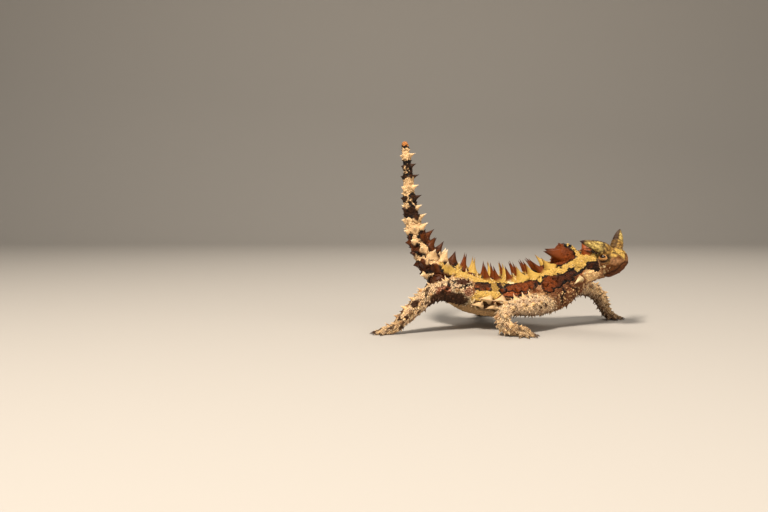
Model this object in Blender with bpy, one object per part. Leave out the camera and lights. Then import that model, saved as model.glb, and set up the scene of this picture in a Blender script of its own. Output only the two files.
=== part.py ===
"""Thorny devil (Moloch horridus), an adult at life size, standing with its tail curled up.

The animal faces +X with its left side at +Y and stands on the plane z = 0.  Sizes below are in
millimetres; place() turns them into metres and puts the origin under the middle of the animal.
Every length of the body and limbs is a tube: elliptic sections carried square to a smooth axis.
Large spines are cones that grow out of the length they stand on.
"""

import math

import bmesh
import bpy
import numpy as np
from mathutils import Matrix, Vector

# ---------------------------------------------------------------- driving dimensions (mm)

METRES_PER_MM = 0.001
MIDDLE_X = 3.26  # middle of the whole animal's box, in the drawing's own frame
MIDDLE_Y = 4.34

SEAM_GAP = 0.35  # clearance between neighbouring pieces
THORN_SIDES = 4
THORN_ROOT = 1.0  # how deep a spine's cone starts under the skin

# Body axis from the tail tip forward: x, y, z, half width, height above, depth below.
BODY_STATIONS = (
    (-50.7, 0.0, 98.7, 1.1, 1.1, 1.1),
    (-50.6, 0.0, 97.0, 1.9, 1.9, 1.9),
    (-50.1, 0.0, 91.6, 2.2, 2.2, 2.2),
    (-49.3, 0.0, 84.0, 2.5, 2.5, 2.5),
    (-48.8, 0.0, 75.0, 2.9, 2.9, 2.9),
    (-48.1, 0.0, 66.0, 3.4, 3.4, 3.4),
    (-46.9, 0.0, 58.0, 4.1, 4.0, 4.0),
    (-44.9, 0.0, 50.0, 5.0, 4.7, 4.7),
    (-41.0, 0.0, 41.0, 6.2, 5.6, 5.7),
    (-35.5, 0.0, 33.0, 8.0, 7.0, 7.2),
    (-28.5, 0.0, 26.0, 11.2, 9.0, 9.0),
    (-20.0, 0.0, 20.6, 15.8, 10.0, 10.8),
    (-10.0, 0.0, 17.4, 19.6, 9.9, 11.0),
    (0.0, 0.0, 16.8, 20.5, 9.8, 11.0),
    (10.0, 0.0, 17.2, 19.2, 10.2, 11.2),
    (20.0, 0.0, 18.8, 16.4, 10.9, 12.2),
    (28.0, 0.0, 21.8, 13.6, 11.8, 13.0),
    (35.0, -0.5, 26.2, 11.2, 10.8, 11.4),
    (41.0, -1.8, 30.4, 9.6, 9.4, 9.6),
    (46.0, -3.2, 33.6, 8.6, 8.6, 9.4),
    (51.0, -4.8, 35.4, 7.4, 7.4, 9.4),
)
# Where the body is parted, as lengths along the axis from the tail tip.
TAIL_END_CUT = 27.3
TAIL_MIDDLE_CUT = 49.7
TAIL_BASE_CUT = 79.0
TRUNK_CUT = 147.5

# How finely each kind of length is faceted: sides round it, then rings or the step between rings.
BODY_SEGMENTS = 20
TRUNK_RINGS = 20
NECK_RINGS = 8
CLEARANCE_RINGS = 40
TAIL_SEGMENTS = 12
TAIL_RING_STEP = 2.8
LIMB_SEGMENTS = 10
LIMB_RING_STEP = 3.2
LIMB_LEAST_RINGS = 5
HEAD_SEGMENTS = 16
HEAD_RINGS = 15
HORN_SEGMENTS = 10
HORN_RINGS = 8
HUMP_SEGMENTS = 14
HUMP_RINGS = 9
DIGIT_SEGMENTS = 5
DIGIT_RINGS = 4
EYE_SEGMENTS = 12
SHARP_DEGREES = 35.0
NORMAL_STEP = 0.4  # along the axis, for the outward normal
NORMAL_DEGREES = 3.0

# Rings of spines round the tail.
WHORL_STEP = 5.6
WHORL_FIRST = 7.7
WHORL_SPINES = 6
WHORL_LENGTH = (1.2, 0.48)  # a spine's length: a constant and a share of the tail's half width
WHORL_RADIUS = (0.6, 0.27)
WHORL_LONGEST = 6.4
WHORL_DORSAL = 0.42  # how much longer the spines over the tail are, and shorter those below
WHORL_LEAN = 14.0

# Rows of spines along the trunk: degrees from the back's middle line, first and last place
# along the axis, number, length, root radius, degrees of lean towards the tail.
TRUNK_ROWS = (
    (13.0, 83.0, 134.0, 8, 8.8, 1.7, 14.0),
    (30.0, 86.0, 141.0, 9, 9.2, 2.1, 18.0),
    (63.0, 84.0, 140.0, 8, 2.6, 1.4, 40.0),
    (91.0, 87.5, 133.0, 8, 6.4, 1.9, 60.0),
    (110.0, 84.5, 130.0, 8, 5.8, 1.8, 64.0),
)

# Head pose: turned towards the animal's right, nose a little up, left side raised.
HEAD_CENTRE = (57.2, -6.4, 35.9)
HEAD_YAW = 55.0
HEAD_PITCH = 4.0
HEAD_ROLL = 10.0
# Head sections: along the head's axis, half width, height above, depth below.
HEAD_SECTIONS = (
    (-8.8, 2.6, 2.8, 3.0),
    (-7.6, 5.4, 5.0, 6.2),
    (-5.0, 7.5, 6.7, 8.4),
    (-2.0, 8.5, 7.6, 9.0),
    (1.0, 8.6, 7.7, 8.2),
    (4.0, 7.8, 6.8, 6.8),
    (6.4, 6.3, 5.5, 5.1),
    (8.2, 4.3, 3.9, 3.6),
    (9.1, 2.0, 2.2, 2.0),
)
EYE_PLACE = (1.5, 6.7, 3.0)  # forward, outward and up from the head's centre
EYE_RADIUS = 1.9
# The horn over each eye: forward, outward, up, radius.
HORN_STATIONS = (
    (1.4, 4.6, 5.0, 4.9),
    (0.8, 7.0, 7.6, 4.3),
    (-1.1, 10.8, 10.6, 2.8),
    (-3.1, 14.6, 12.9, 1.1),
    (-3.9, 16.4, 13.8, 0.2),
)

# Knob on the nape: x, y, z, half width, height above, depth below, along its axis.
HUMP_STATIONS = (
    (27.5, 0.0, 34.8, 2.6, 2.4, 2.4),
    (29.0, -0.1, 35.5, 5.2, 4.6, 4.6),
    (31.8, -0.3, 36.8, 7.0, 6.4, 6.4),
    (35.2, -0.6, 38.3, 7.4, 6.4, 6.4),
    (38.4, -1.0, 39.2, 5.8, 4.9, 4.9),
    (40.6, -1.3, 39.8, 3.0, 2.6, 2.6),
)

# Limbs: x, y, z, half width, height above, depth below, from the root outwards.
ARM_RIGHT = (
    (25.0, -5.0, 14.6, 6.2, 6.2, 6.2),
    (18.0, -14.5, 13.8, 5.8, 5.8, 5.8),
    (10.8, -22.2, 13.6, 5.1, 5.1, 5.1),
    (4.9, -26.5, 13.6, 4.6, 4.4, 4.6),
    (0.4, -29.4, 12.6, 4.3, 3.6, 4.0),
    (-2.2, -30.9, 9.8, 4.1, 3.0, 4.0),
    (-2.3, -31.9, 6.8, 4.0, 2.9, 3.8),
    (-0.1, -32.5, 4.3, 4.0, 2.9, 3.4),
    (3.6, -33.0, 2.9, 4.1, 2.6, 2.9),
    (7.4, -33.5, 2.1, 4.3, 2.0, 2.4),
    (10.6, -34.1, 1.6, 3.1, 1.5, 2.0),
)
ARM_RIGHT_CUTS = (34.6, 47.8)
DIGITS_RIGHT_HAND = ((-8.0, 5.0), (-42.0, 5.2), (-78.0, 5.0), (-118.0, 4.4), (28.0, 4.4))

ARM_LEFT = (
    (28.0, 5.0, 19.0, 5.8, 5.8, 5.8),
    (37.0, 12.5, 20.0, 5.4, 5.4, 5.4),
    (47.0, 19.0, 19.2, 4.7, 4.7, 4.7),
    (54.5, 22.6, 17.4, 4.4, 4.4, 4.4),
    (59.0, 24.4, 14.2, 4.2, 4.2, 4.2),
    (61.6, 25.4, 10.2, 3.7, 3.7, 3.7),
    (63.8, 26.2, 6.2, 3.4, 3.2, 3.2),
    (65.6, 26.6, 3.4, 3.7, 2.6, 3.0),
    (68.0, 27.0, 2.0, 4.2, 2.0, 2.5),
    (70.4, 27.4, 1.6, 3.2, 1.5, 2.0),
)
ARM_LEFT_CUTS = (34.6, 46.2)
DIGITS_LEFT_HAND = ((40.0, 5.0), (2.0, 5.4), (-36.0, 5.2), (-76.0, 5.0), (-120.0, 4.6))

LEG_RIGHT = (
    (-15.0, -4.0, 19.5, 7.0, 7.0, 7.0),
    (-21.5, -12.5, 20.2, 6.8, 6.8, 6.6),
    (-29.5, -18.2, 21.0, 5.8, 5.6, 5.6),
    (-36.5, -21.0, 20.4, 5.0, 4.8, 4.8),
    (-42.5, -22.6, 16.4, 4.6, 4.4, 4.4),
    (-48.4, -23.9, 10.8, 4.0, 3.8, 3.8),
    (-53.0, -24.8, 6.2, 3.5, 3.2, 3.2),
    (-56.8, -25.4, 3.2, 3.5, 3.0, 2.4),
    (-60.6, -26.0, 1.9, 3.9, 2.5, 2.0),
    (-63.8, -26.4, 1.6, 3.0, 2.0, 1.4),
)
LEG_RIGHT_CUTS = (28.2, 45.4)
DIGITS_RIGHT_FOOT = ((-176.0, 5.6), (-204.0, 5.4), (-148.0, 5.2), (-232.0, 4.8), (-116.0, 4.4))

LEG_LEFT = (
    (-14.0, 4.0, 19.0, 7.0, 7.0, 7.0),
    (-11.5, 14.5, 20.0, 6.6, 6.6, 6.6),
    (-6.5, 24.0, 19.4, 5.6, 5.6, 5.6),
    (-3.8, 30.6, 16.6, 4.8, 4.8, 4.8),
    (-4.8, 34.4, 12.8, 4.2, 4.2, 4.2),
    (-6.6, 36.8, 8.6, 3.6, 3.6, 3.6),
    (-7.0, 38.8, 5.2, 3.3, 3.2, 3.2),
    (-5.4, 40.8, 3.0, 3.5, 2.6, 2.8),
    (-2.4, 42.4, 2.0, 4.0, 2.0, 2.4),
    (0.6, 43.6, 1.6, 3.0, 1.4, 2.0),
)
LEG_LEFT_CUTS = (29.0, 43.6)
DIGITS_LEFT_FOOT = ((14.0, 5.6), (-14.0, 5.2), (42.0, 5.2), (74.0, 4.8), (-46.0, 4.4))

# Spine rows along a limb: degrees from its upper side, first and last share of its length,
# number, length, root radius.
LIMB_ROWS = (
    (0.0, 0.34, 0.80, 6, 3.0, 1.15),
    (75.0, 0.30, 0.82, 6, 2.6, 1.05),
    (-75.0, 0.42, 0.80, 5, 2.2, 0.95),
)
# The upper side of a limb, as the angle at which its tube has it.
LIMB_TOP = {"right": 180.0, "left": 0.0}
LIMB_THORN_LEAN = 18.0
# A digit's profile: reach in millimetres plus a share of its length, height, radius.
DIGIT_PROFILE = (
    (0.8, 0.0, 1.5, 1.25),
    (1.5, 0.45, 1.35, 1.15),
    (1.5, 0.85, 0.75, 0.8),
    (3.0, 1.0, 0.25, 0.28),
)
PALM_BACK = 3.4  # from a limb's end back to the point its digits spread from
FLOOR_BLOCK = (300.0, 300.0, 20.0)
CLEARANCE_START = 0.5
SEAM_CLEAR = 1.7  # no limb spine stands closer to a cut than this
LIMB_CLEAR = 0.5  # no trunk spine comes closer to a limb than this
FLOOR_CLEAR = 1.2  # no limb spine's tip comes lower than this

# Single spines on the neck: place along the axis, degrees, length, root radius, lean.
NECK_SPINES = (
    (161.0, 36.0, 5.2, 2.3, 12.0),
    (152.8, 106.0, 4.9, 1.6, 64.0),
)
# Spines on the nape knob: share along its axis, degrees, length, root radius, lean.
HUMP_SPINES = (
    (0.34, 45.0, 8.6, 3.5, 50.0),
    (0.55, 24.0, 2.4, 1.2, 24.0),
)
HUMP_LEFT_SHARE = 0.66  # the left spines of the knob against the right ones

# ---------------------------------------------------------------- colours

RUST = "#703016"
YELLOW = "#DDBB5C"
CREAM = "#DEB482"
HEAD_BROWN = "#8C5A32"
HORN_BROWN = "#7A5A30"
EYE_BLACK = "#120A05"
SKIN_ROUGHNESS = 0.62
HORN_ROUGHNESS = 0.5
EYE_ROUGHNESS = 0.08


def linear(code):
    """Turns an sRGB hex code into linear RGBA."""
    parts = [int(code[i : i + 2], 16) / 255 for i in (1, 3, 5)]
    low = [c / 12.92 if c <= 0.04045 else ((c + 0.055) / 1.055) ** 2.4 for c in parts]
    return (*low, 1.0)


def finish_of(name, code, roughness):
    """A plain Principled material for one node."""
    material = bpy.data.materials.new(name)
    material.use_nodes = True
    shader = material.node_tree.nodes["Principled BSDF"]
    shader.inputs["Base Color"].default_value = linear(code)
    shader.inputs["Roughness"].default_value = roughness
    shader.inputs["Metallic"].default_value = 0.0
    return material


# ---------------------------------------------------------------- tubes


def unit(vectors):
    """Scales each row to length one."""
    vectors = np.asarray(vectors, float)
    return vectors / np.linalg.norm(vectors, axis=-1, keepdims=True)


def smooth_rows(rows, per_step):
    """A Catmull-Rom curve through rows of numbers, with per_step samples between two rows."""
    rows = np.asarray(rows, float)
    ends = np.vstack([2 * rows[0] - rows[1], rows, 2 * rows[-1] - rows[-2]])
    t = np.arange(per_step)[:, None] / per_step
    spans = []
    for a, b, c, d in zip(ends, ends[1:], ends[2:], ends[3:]):
        spans.append(
            0.5
            * (
                2 * b
                + (c - a) * t
                + (2 * a - 5 * b + 4 * c - d) * t**2
                + (3 * b - a - 3 * c + d) * t**3
            )
        )
    return np.vstack([*spans, rows[-1:]])


class Tube:
    """Elliptic sections carried along a smooth axis, each square to it."""

    def __init__(self, stations, side=(0.0, 1.0, 0.0), per_step=12):
        rows = smooth_rows(stations, per_step)
        self.axis = rows[:, :3]
        self.half = rows[:, 3:]
        steps = np.linalg.norm(np.diff(self.axis, axis=0), axis=1)
        self.s = np.concatenate([[0.0], np.cumsum(steps)])
        self.forward = unit(np.gradient(self.axis, axis=0))
        self.side = self.carried(np.asarray(side, float))
        self.up = np.cross(self.forward, self.side)

    def carried(self, side):
        """The side direction, kept square to the axis from one sample to the next."""
        out = []
        for forward in self.forward:
            side = unit(side - forward * np.dot(side, forward))
            out.append(side)
        return np.array(out)

    @property
    def length(self):
        return self.s[-1]

    def read(self, table, s):
        """A table of rows, read at lengths s along the axis."""
        return np.stack([np.interp(s, self.s, column) for column in table.T], axis=-1)

    def surface(self, s, degrees, grow=0.0):
        """Points at lengths s and angles from the top line towards the side direction."""
        s, angle = np.broadcast_arrays(np.asarray(s, float), np.radians(degrees))
        half = self.read(self.half, s) + grow
        over = np.where(np.cos(angle) > 0, half[..., 1], half[..., 2])
        return (
            self.read(self.axis, s)
            + self.read(self.side, s) * (half[..., 0] * np.sin(angle))[..., None]
            + self.read(self.up, s) * (over * np.cos(angle))[..., None]
        )

    def outward(self, s, degrees):
        """The outward normal, from two short steps along the surface."""
        ahead = self.surface(s + NORMAL_STEP, degrees) - self.surface(s - NORMAL_STEP, degrees)
        before = self.surface(s, degrees - NORMAL_DEGREES)
        round_ = self.surface(s, degrees + NORMAL_DEGREES) - before
        return unit(np.cross(ahead, round_))

    def grid(self, places, segments, grow=0.0):
        """Rings of surface points at the given places."""
        degrees = np.arange(segments) * 360.0 / segments
        return self.surface(np.asarray(places)[:, None], degrees[None, :], grow)


def place(points):
    """Drawing millimetres to metres, with the origin under the animal's middle."""
    points = np.asarray(points, float) - (MIDDLE_X, MIDDLE_Y, 0.0)
    return points * METRES_PER_MM


# ---------------------------------------------------------------- meshes


def mesh_of(name, points, faces, collection):
    """A mesh object from points in millimetres, with its normals turned outwards."""
    mesh = bpy.data.meshes.new(name)
    mesh.from_pydata(place(points).tolist(), [], faces)
    shape = bmesh.new()
    shape.from_mesh(mesh)
    bmesh.ops.recalc_face_normals(shape, faces=shape.faces)
    shape.to_mesh(mesh)
    shape.free()
    piece = bpy.data.objects.new(name, mesh)
    collection.objects.link(piece)
    return piece


def loft_faces(rings, segments):
    """Quads between the rings, and a flat cap on each end."""
    faces = []
    for ring in range(rings - 1):
        for k in range(segments):
            here, after = ring * segments, (ring + 1) * segments
            nxt = (k + 1) % segments
            faces.append((here + k, here + nxt, after + nxt, after + k))
    last = (rings - 1) * segments
    faces.append(tuple(reversed(range(segments))))
    faces.append(tuple(range(last, last + segments)))
    return faces


def loft(name, tube, first, last, rings, segments, collection, grow=0.0):
    """A closed length of a tube between two places on its axis."""
    places = np.linspace(first, last, rings)
    points = tube.grid(places, segments, grow).reshape(-1, 3)
    return mesh_of(name, points, loft_faces(rings, segments), collection)


def cone(shape, root, direction, length, radius):
    """Adds one spine: a cone from under the skin at root, out along direction."""
    depth = (length + THORN_ROOT) * METRES_PER_MM
    middle = np.asarray(root) + np.asarray(direction) * (length - THORN_ROOT) / 2
    turn = Vector(direction).to_track_quat("Z", "Y").to_matrix().to_4x4()
    bmesh.ops.create_cone(
        shape,
        cap_ends=True,
        cap_tris=False,
        segments=THORN_SIDES,
        radius1=radius * METRES_PER_MM,
        radius2=0.0,
        depth=depth,
        matrix=Matrix.Translation(place(middle)) @ turn,
    )


def cones(name, spines, collection):
    """One object that holds many cones, each (root, direction, length, radius)."""
    shape = bmesh.new()
    for root, direction, length, radius in spines:
        cone(shape, root, direction, length, radius)
    bmesh.ops.remove_doubles(shape, verts=shape.verts, dist=1e-6)
    bmesh.ops.recalc_face_normals(shape, faces=shape.faces)
    mesh = bpy.data.meshes.new(name)
    shape.to_mesh(mesh)
    shape.free()
    piece = bpy.data.objects.new(name, mesh)
    collection.objects.link(piece)
    return piece


def hide(piece):
    """Marks a cutter as a working shape."""
    piece.hide_render = True
    piece.display_type = "WIRE"


def combine(piece, other, operation):
    """A Boolean of another piece into this one; the other becomes a working shape."""
    hide(other)
    step = piece.modifiers.new(operation.title(), "BOOLEAN")
    step.operation = operation
    step.solver = "EXACT"
    step.use_self = operation == "UNION"
    step.object = other


def dress(piece, code, roughness=SKIN_ROUGHNESS):
    """Gives a node its material and its shading."""
    piece.data.materials.append(finish_of(piece.name, code, roughness))
    piece.data.shade_smooth()
    piece.data.set_sharp_from_angle(angle=math.radians(SHARP_DEGREES))


# ---------------------------------------------------------------- spines by rule


def spine_at(tube, s, degrees, length, radius, lean, aft=-1.0):
    """One spine on a tube, leaned by an angle along the axis (aft -1 is towards its start)."""
    root = tube.surface(s, degrees)
    normal = tube.outward(s, degrees)
    along = tube.read(tube.forward, s) * aft
    tilt = math.radians(lean)
    direction = unit(normal * math.cos(tilt) + along * math.sin(tilt))
    return (root, direction, length, radius)


def tail_spines(tube, first, last):
    """Rings of spines on one length of the tail, turned by half a step from ring to ring."""
    out = []
    count = int((TAIL_BASE_CUT - WHORL_FIRST) / WHORL_STEP) + 1
    for ring in range(count):
        s = WHORL_FIRST + ring * WHORL_STEP
        if not first < s < last:
            continue
        girth = float(np.interp(s, tube.s, tube.half[:, 0]))
        for k in range(WHORL_SPINES):
            degrees = (k + 0.5 * (ring % 2)) * 360.0 / WHORL_SPINES
            swell = 1.0 + WHORL_DORSAL * math.cos(math.radians(degrees))
            length = min(WHORL_LONGEST, (WHORL_LENGTH[0] + WHORL_LENGTH[1] * girth) * swell)
            radius = WHORL_RADIUS[0] + WHORL_RADIUS[1] * girth
            out.append(spine_at(tube, s, degrees, length, radius, WHORL_LEAN))
    return out


def is_clear(spine, limbs):
    """Whether a spine stays clear of every limb along its whole length."""
    root, direction, length, radius = spine
    for share in (0.0, 0.5, 1.0):
        point = root + direction * length * share
        reach = radius * (1.0 - share) + LIMB_CLEAR
        for limb in limbs:
            gap = np.linalg.norm(limb.axis - point, axis=1) - limb.half.max(axis=1)
            if gap.min() < reach:
                return False
    return True


def trunk_spines(tube, limbs):
    """The rows of spines along both sides of the trunk, left out where a limb is in the way."""
    out = []
    for degrees, first, last, count, length, radius, lean in TRUNK_ROWS:
        for s in np.linspace(first, last, count):
            for side in (1, -1):
                spine = spine_at(tube, s, side * degrees, length, radius, lean)
                if is_clear(spine, limbs):
                    out.append(spine)
    return out


def limb_spines(tube, first, last, top):
    """The part of a limb's spine rows that stands between two cuts."""
    out = []
    for degrees, start, end, count, length, radius in LIMB_ROWS:
        for share in np.linspace(start, end, count):
            s = share * tube.length
            if first + SEAM_CLEAR < s < last - SEAM_CLEAR:
                spot = (s, top + degrees)
                spine = spine_at(tube, *spot, length, radius, LIMB_THORN_LEAN, 1.0)
                if (spine[0] + spine[1] * length)[2] > FLOOR_CLEAR:
                    out.append(spine)
    return out


# ---------------------------------------------------------------- body, neck and tail


def body_length(name, tube, first, last, rings, segments, spines, code, groups):
    """One parted length of the body with its spines."""
    parts, cutters = groups
    half_gap = SEAM_GAP / 2
    start = first + half_gap if first > 0 else first
    end = last - half_gap if last < tube.length else last
    piece = loft(name, tube, start, end, rings, segments, parts)
    combine(piece, cones(name + "_spines", spines, cutters), "UNION")
    dress(piece, code)
    return piece


def make_body(tube, head_clearance, groups):
    """Tail in three lengths, trunk and neck."""
    cuts = (0.0, TAIL_END_CUT, TAIL_MIDDLE_CUT, TAIL_BASE_CUT)
    names = ("tail_end", "tail_middle", "tail_base")
    for name, first, last in zip(names, cuts, cuts[1:]):
        spines = tail_spines(tube, first, last)
        rings = int((last - first) / TAIL_RING_STEP) + 1
        body_length(name, tube, first, last, rings, TAIL_SEGMENTS, spines, CREAM, groups)
    limbs = [Tube(stations) for stations in (ARM_RIGHT, ARM_LEFT, LEG_RIGHT, LEG_LEFT)]
    spines = trunk_spines(tube, limbs)
    cuts = (TAIL_BASE_CUT, TRUNK_CUT)
    body_length("trunk", tube, *cuts, TRUNK_RINGS, BODY_SEGMENTS, spines, RUST, groups)
    spines = [
        spine_at(tube, s, side * degrees, length, radius, lean)
        for s, degrees, length, radius, lean in NECK_SPINES
        for side in (1, -1)
    ]
    cuts = (TRUNK_CUT, tube.length)
    neck = body_length("neck", tube, *cuts, NECK_RINGS, BODY_SEGMENTS, spines, YELLOW, groups)
    combine(neck, head_clearance, "DIFFERENCE")


def make_hump(body_clearance, groups):
    """The knob on the nape with its pair of large spines."""
    parts, cutters = groups
    tube = Tube(HUMP_STATIONS)
    piece = loft("nape_hump", tube, 0.0, tube.length, HUMP_RINGS, HUMP_SEGMENTS, parts)
    spines = [
        spine_at(tube, share * tube.length, side * degrees, length * part, radius, lean)
        for share, degrees, length, radius, lean in HUMP_SPINES
        for side, part in ((1, HUMP_LEFT_SHARE), (-1, 1.0))
    ]
    combine(piece, cones("nape_hump_spines", spines, cutters), "UNION")
    combine(piece, body_clearance, "DIFFERENCE")
    dress(piece, RUST)


# ---------------------------------------------------------------- head


def head_axes():
    """The head's forward, left and up directions."""
    yaw, pitch, roll = (math.radians(a) for a in (HEAD_YAW, HEAD_PITCH, HEAD_ROLL))
    level = math.cos(pitch)
    forward = np.array([math.cos(yaw) * level, -math.sin(yaw) * level, math.sin(pitch)])
    left = np.array([math.sin(yaw), math.cos(yaw), 0.0])
    left = left * math.cos(roll) + np.cross(forward, left) * math.sin(roll)
    return forward, left, np.cross(forward, left)


def head_point(ahead, outward, above):
    """A point given from the head's centre along its own axes."""
    forward, left, up = head_axes()
    return np.asarray(HEAD_CENTRE) + forward * ahead + left * outward + up * above


def head_tube():
    """The head as a tube along its own axis."""
    stations = [(*head_point(a, 0.0, 0.0), w, h, d) for a, w, h, d in HEAD_SECTIONS]
    return Tube(stations, side=head_axes()[1])


def horn_tube(side):
    """The horn over one eye; side is 1 for left and -1 for right."""
    stations = [(*head_point(a, side * b, c), r, r, r) for a, b, c, r in HORN_STATIONS]
    return Tube(stations, side=head_axes()[0])


def ball(name, centre, radius, collection):
    """A sphere in millimetres."""
    shape = bmesh.new()
    bmesh.ops.create_uvsphere(
        shape,
        u_segments=EYE_SEGMENTS,
        v_segments=EYE_SEGMENTS // 2,
        radius=radius * METRES_PER_MM,
    )
    mesh = bpy.data.meshes.new(name)
    shape.to_mesh(mesh)
    shape.free()
    piece = bpy.data.objects.new(name, mesh)
    piece.location = place(centre)
    collection.objects.link(piece)
    return piece


def make_head(groups):
    """Head, eyes in their sockets and the horns; returns the head grown by the gap."""
    parts, cutters = groups
    tube = head_tube()
    facets = (HEAD_RINGS, HEAD_SEGMENTS)
    head = loft("head", tube, 0.0, tube.length, *facets, parts)
    clearance = loft("head_clearance", tube, 0.0, tube.length, *facets, cutters, SEAM_GAP)
    for side, word in ((1, "left"), (-1, "right")):
        ahead, outward, above = EYE_PLACE
        centre = head_point(ahead, side * outward, above)
        socket = ball("socket_" + word, centre, EYE_RADIUS + SEAM_GAP, cutters)
        combine(head, socket, "DIFFERENCE")
        eye = ball("eye_" + word, centre, EYE_RADIUS, parts)
        dress(eye, EYE_BLACK, EYE_ROUGHNESS)
        horn = horn_tube(side)
        piece = loft("horn_" + word, horn, 0.0, horn.length, HORN_RINGS, HORN_SEGMENTS, parts)
        combine(piece, clearance, "DIFFERENCE")
        room = ball("lid_room_" + word, centre, EYE_RADIUS + 2 * SEAM_GAP, cutters)
        combine(piece, room, "DIFFERENCE")
        dress(piece, HORN_BROWN, HORN_ROUGHNESS)
    dress(head, HEAD_BROWN)
    return clearance


# ---------------------------------------------------------------- limbs


def digit(name, palm, heading, length, collection):
    """A short toe that ends in a claw: from the palm out and down to the floor."""
    turn = math.radians(heading)
    out = np.array([math.cos(turn), math.sin(turn), 0.0])
    stations = []
    for reach, share, height, radius in DIGIT_PROFILE:
        point = palm + out * (reach + share * length) + (0.0, 0.0, height)
        stations.append((*point, radius, radius, radius))
    tube = Tube(stations, side=(-out[1], out[0], 0.0))
    return loft(name, tube, 0.0, tube.length, DIGIT_RINGS, DIGIT_SEGMENTS, collection)


def floor_block(collection):
    """Everything under the floor plane, to cut the soles flat."""
    shape = bmesh.new()
    bmesh.ops.create_cube(shape, size=1.0)
    mesh = bpy.data.meshes.new("floor_block")
    shape.to_mesh(mesh)
    shape.free()
    piece = bpy.data.objects.new("floor_block", mesh)
    collection.objects.link(piece)
    piece.scale = np.array(FLOOR_BLOCK) * METRES_PER_MM
    piece.location.z = -FLOOR_BLOCK[2] * METRES_PER_MM / 2
    return piece


def make_limb(names, stations, cuts, digits, top, tools, groups):
    """Three lengths of one limb: the root cut by the body, the last with digits and flat sole."""
    parts, cutters = groups
    body_clearance, floor = tools
    tube = Tube(stations)
    edges = (0.0, *cuts, tube.length)
    for name, first, last in zip(names, edges, edges[1:]):
        start = first + SEAM_GAP / 2 if first > 0 else 0.0
        end = last - SEAM_GAP / 2 if last < tube.length else last
        rings = max(LIMB_LEAST_RINGS, int((end - start) / LIMB_RING_STEP) + 1)
        piece = loft(name, tube, start, end, rings, LIMB_SEGMENTS, parts)
        spines = limb_spines(tube, first, last, top)
        if spines:
            combine(piece, cones(name + "_spines", spines, cutters), "UNION")
        if first == 0.0:
            combine(piece, body_clearance, "DIFFERENCE")
        dress(piece, CREAM)
    palm = tube.read(tube.axis, tube.length - PALM_BACK) * (1, 1, 0)
    for number, (heading, length) in enumerate(digits, 1):
        toe = digit(f"{name}_digit_{number}", palm, heading, length, cutters)
        combine(piece, toe, "UNION")
    combine(piece, floor, "DIFFERENCE")


def make_limbs(body_clearance, groups):
    """The four limbs, in the pose they stand in."""
    tools = (body_clearance, floor_block(groups[1]))
    arm = ("upper_arm_", "forearm_", "hand_")
    leg = ("thigh_", "shank_", "foot_")
    table = (
        (arm, "right", ARM_RIGHT, ARM_RIGHT_CUTS, DIGITS_RIGHT_HAND),
        (arm, "left", ARM_LEFT, ARM_LEFT_CUTS, DIGITS_LEFT_HAND),
        (leg, "right", LEG_RIGHT, LEG_RIGHT_CUTS, DIGITS_RIGHT_FOOT),
        (leg, "left", LEG_LEFT, LEG_LEFT_CUTS, DIGITS_LEFT_FOOT),
    )
    for stems, word, stations, cuts, digits in table:
        names = [stem + word for stem in stems]
        make_limb(names, stations, cuts, digits, LIMB_TOP[word], tools, groups)


# ---------------------------------------------------------------- the whole animal


def new_group(name):
    """A collection linked to the scene."""
    group = bpy.data.collections.new(name)
    bpy.context.scene.collection.children.link(group)
    return group


def main():
    """Builds the whole animal."""
    for old in list(bpy.data.objects):
        bpy.data.objects.remove(old, do_unlink=True)
    groups = (new_group("thorny_devil"), new_group("cutters"))
    body = Tube(BODY_STATIONS)
    span = (CLEARANCE_START, body.length)
    facets = (CLEARANCE_RINGS, BODY_SEGMENTS)
    body_clearance = loft("body_clearance", body, *span, *facets, groups[1], SEAM_GAP)
    head_clearance = make_head(groups)
    make_body(body, head_clearance, groups)
    make_hump(body_clearance, groups)
    make_limbs(body_clearance, groups)


main()
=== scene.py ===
"""Looks of the thorny devil: skin, scales, thorns, horns, eyes and claws over the solid model.

Sizes are millimetres in the drawing's own frame unless a name says metres; place() turns them into
metres under the animal's middle.  The body, head, nape knob and limbs are tubes: elliptic sections
carried square to a smooth axis.  A place on a tube is a length s along its axis and an angle from
its top line towards its side direction.
"""

import math

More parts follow.
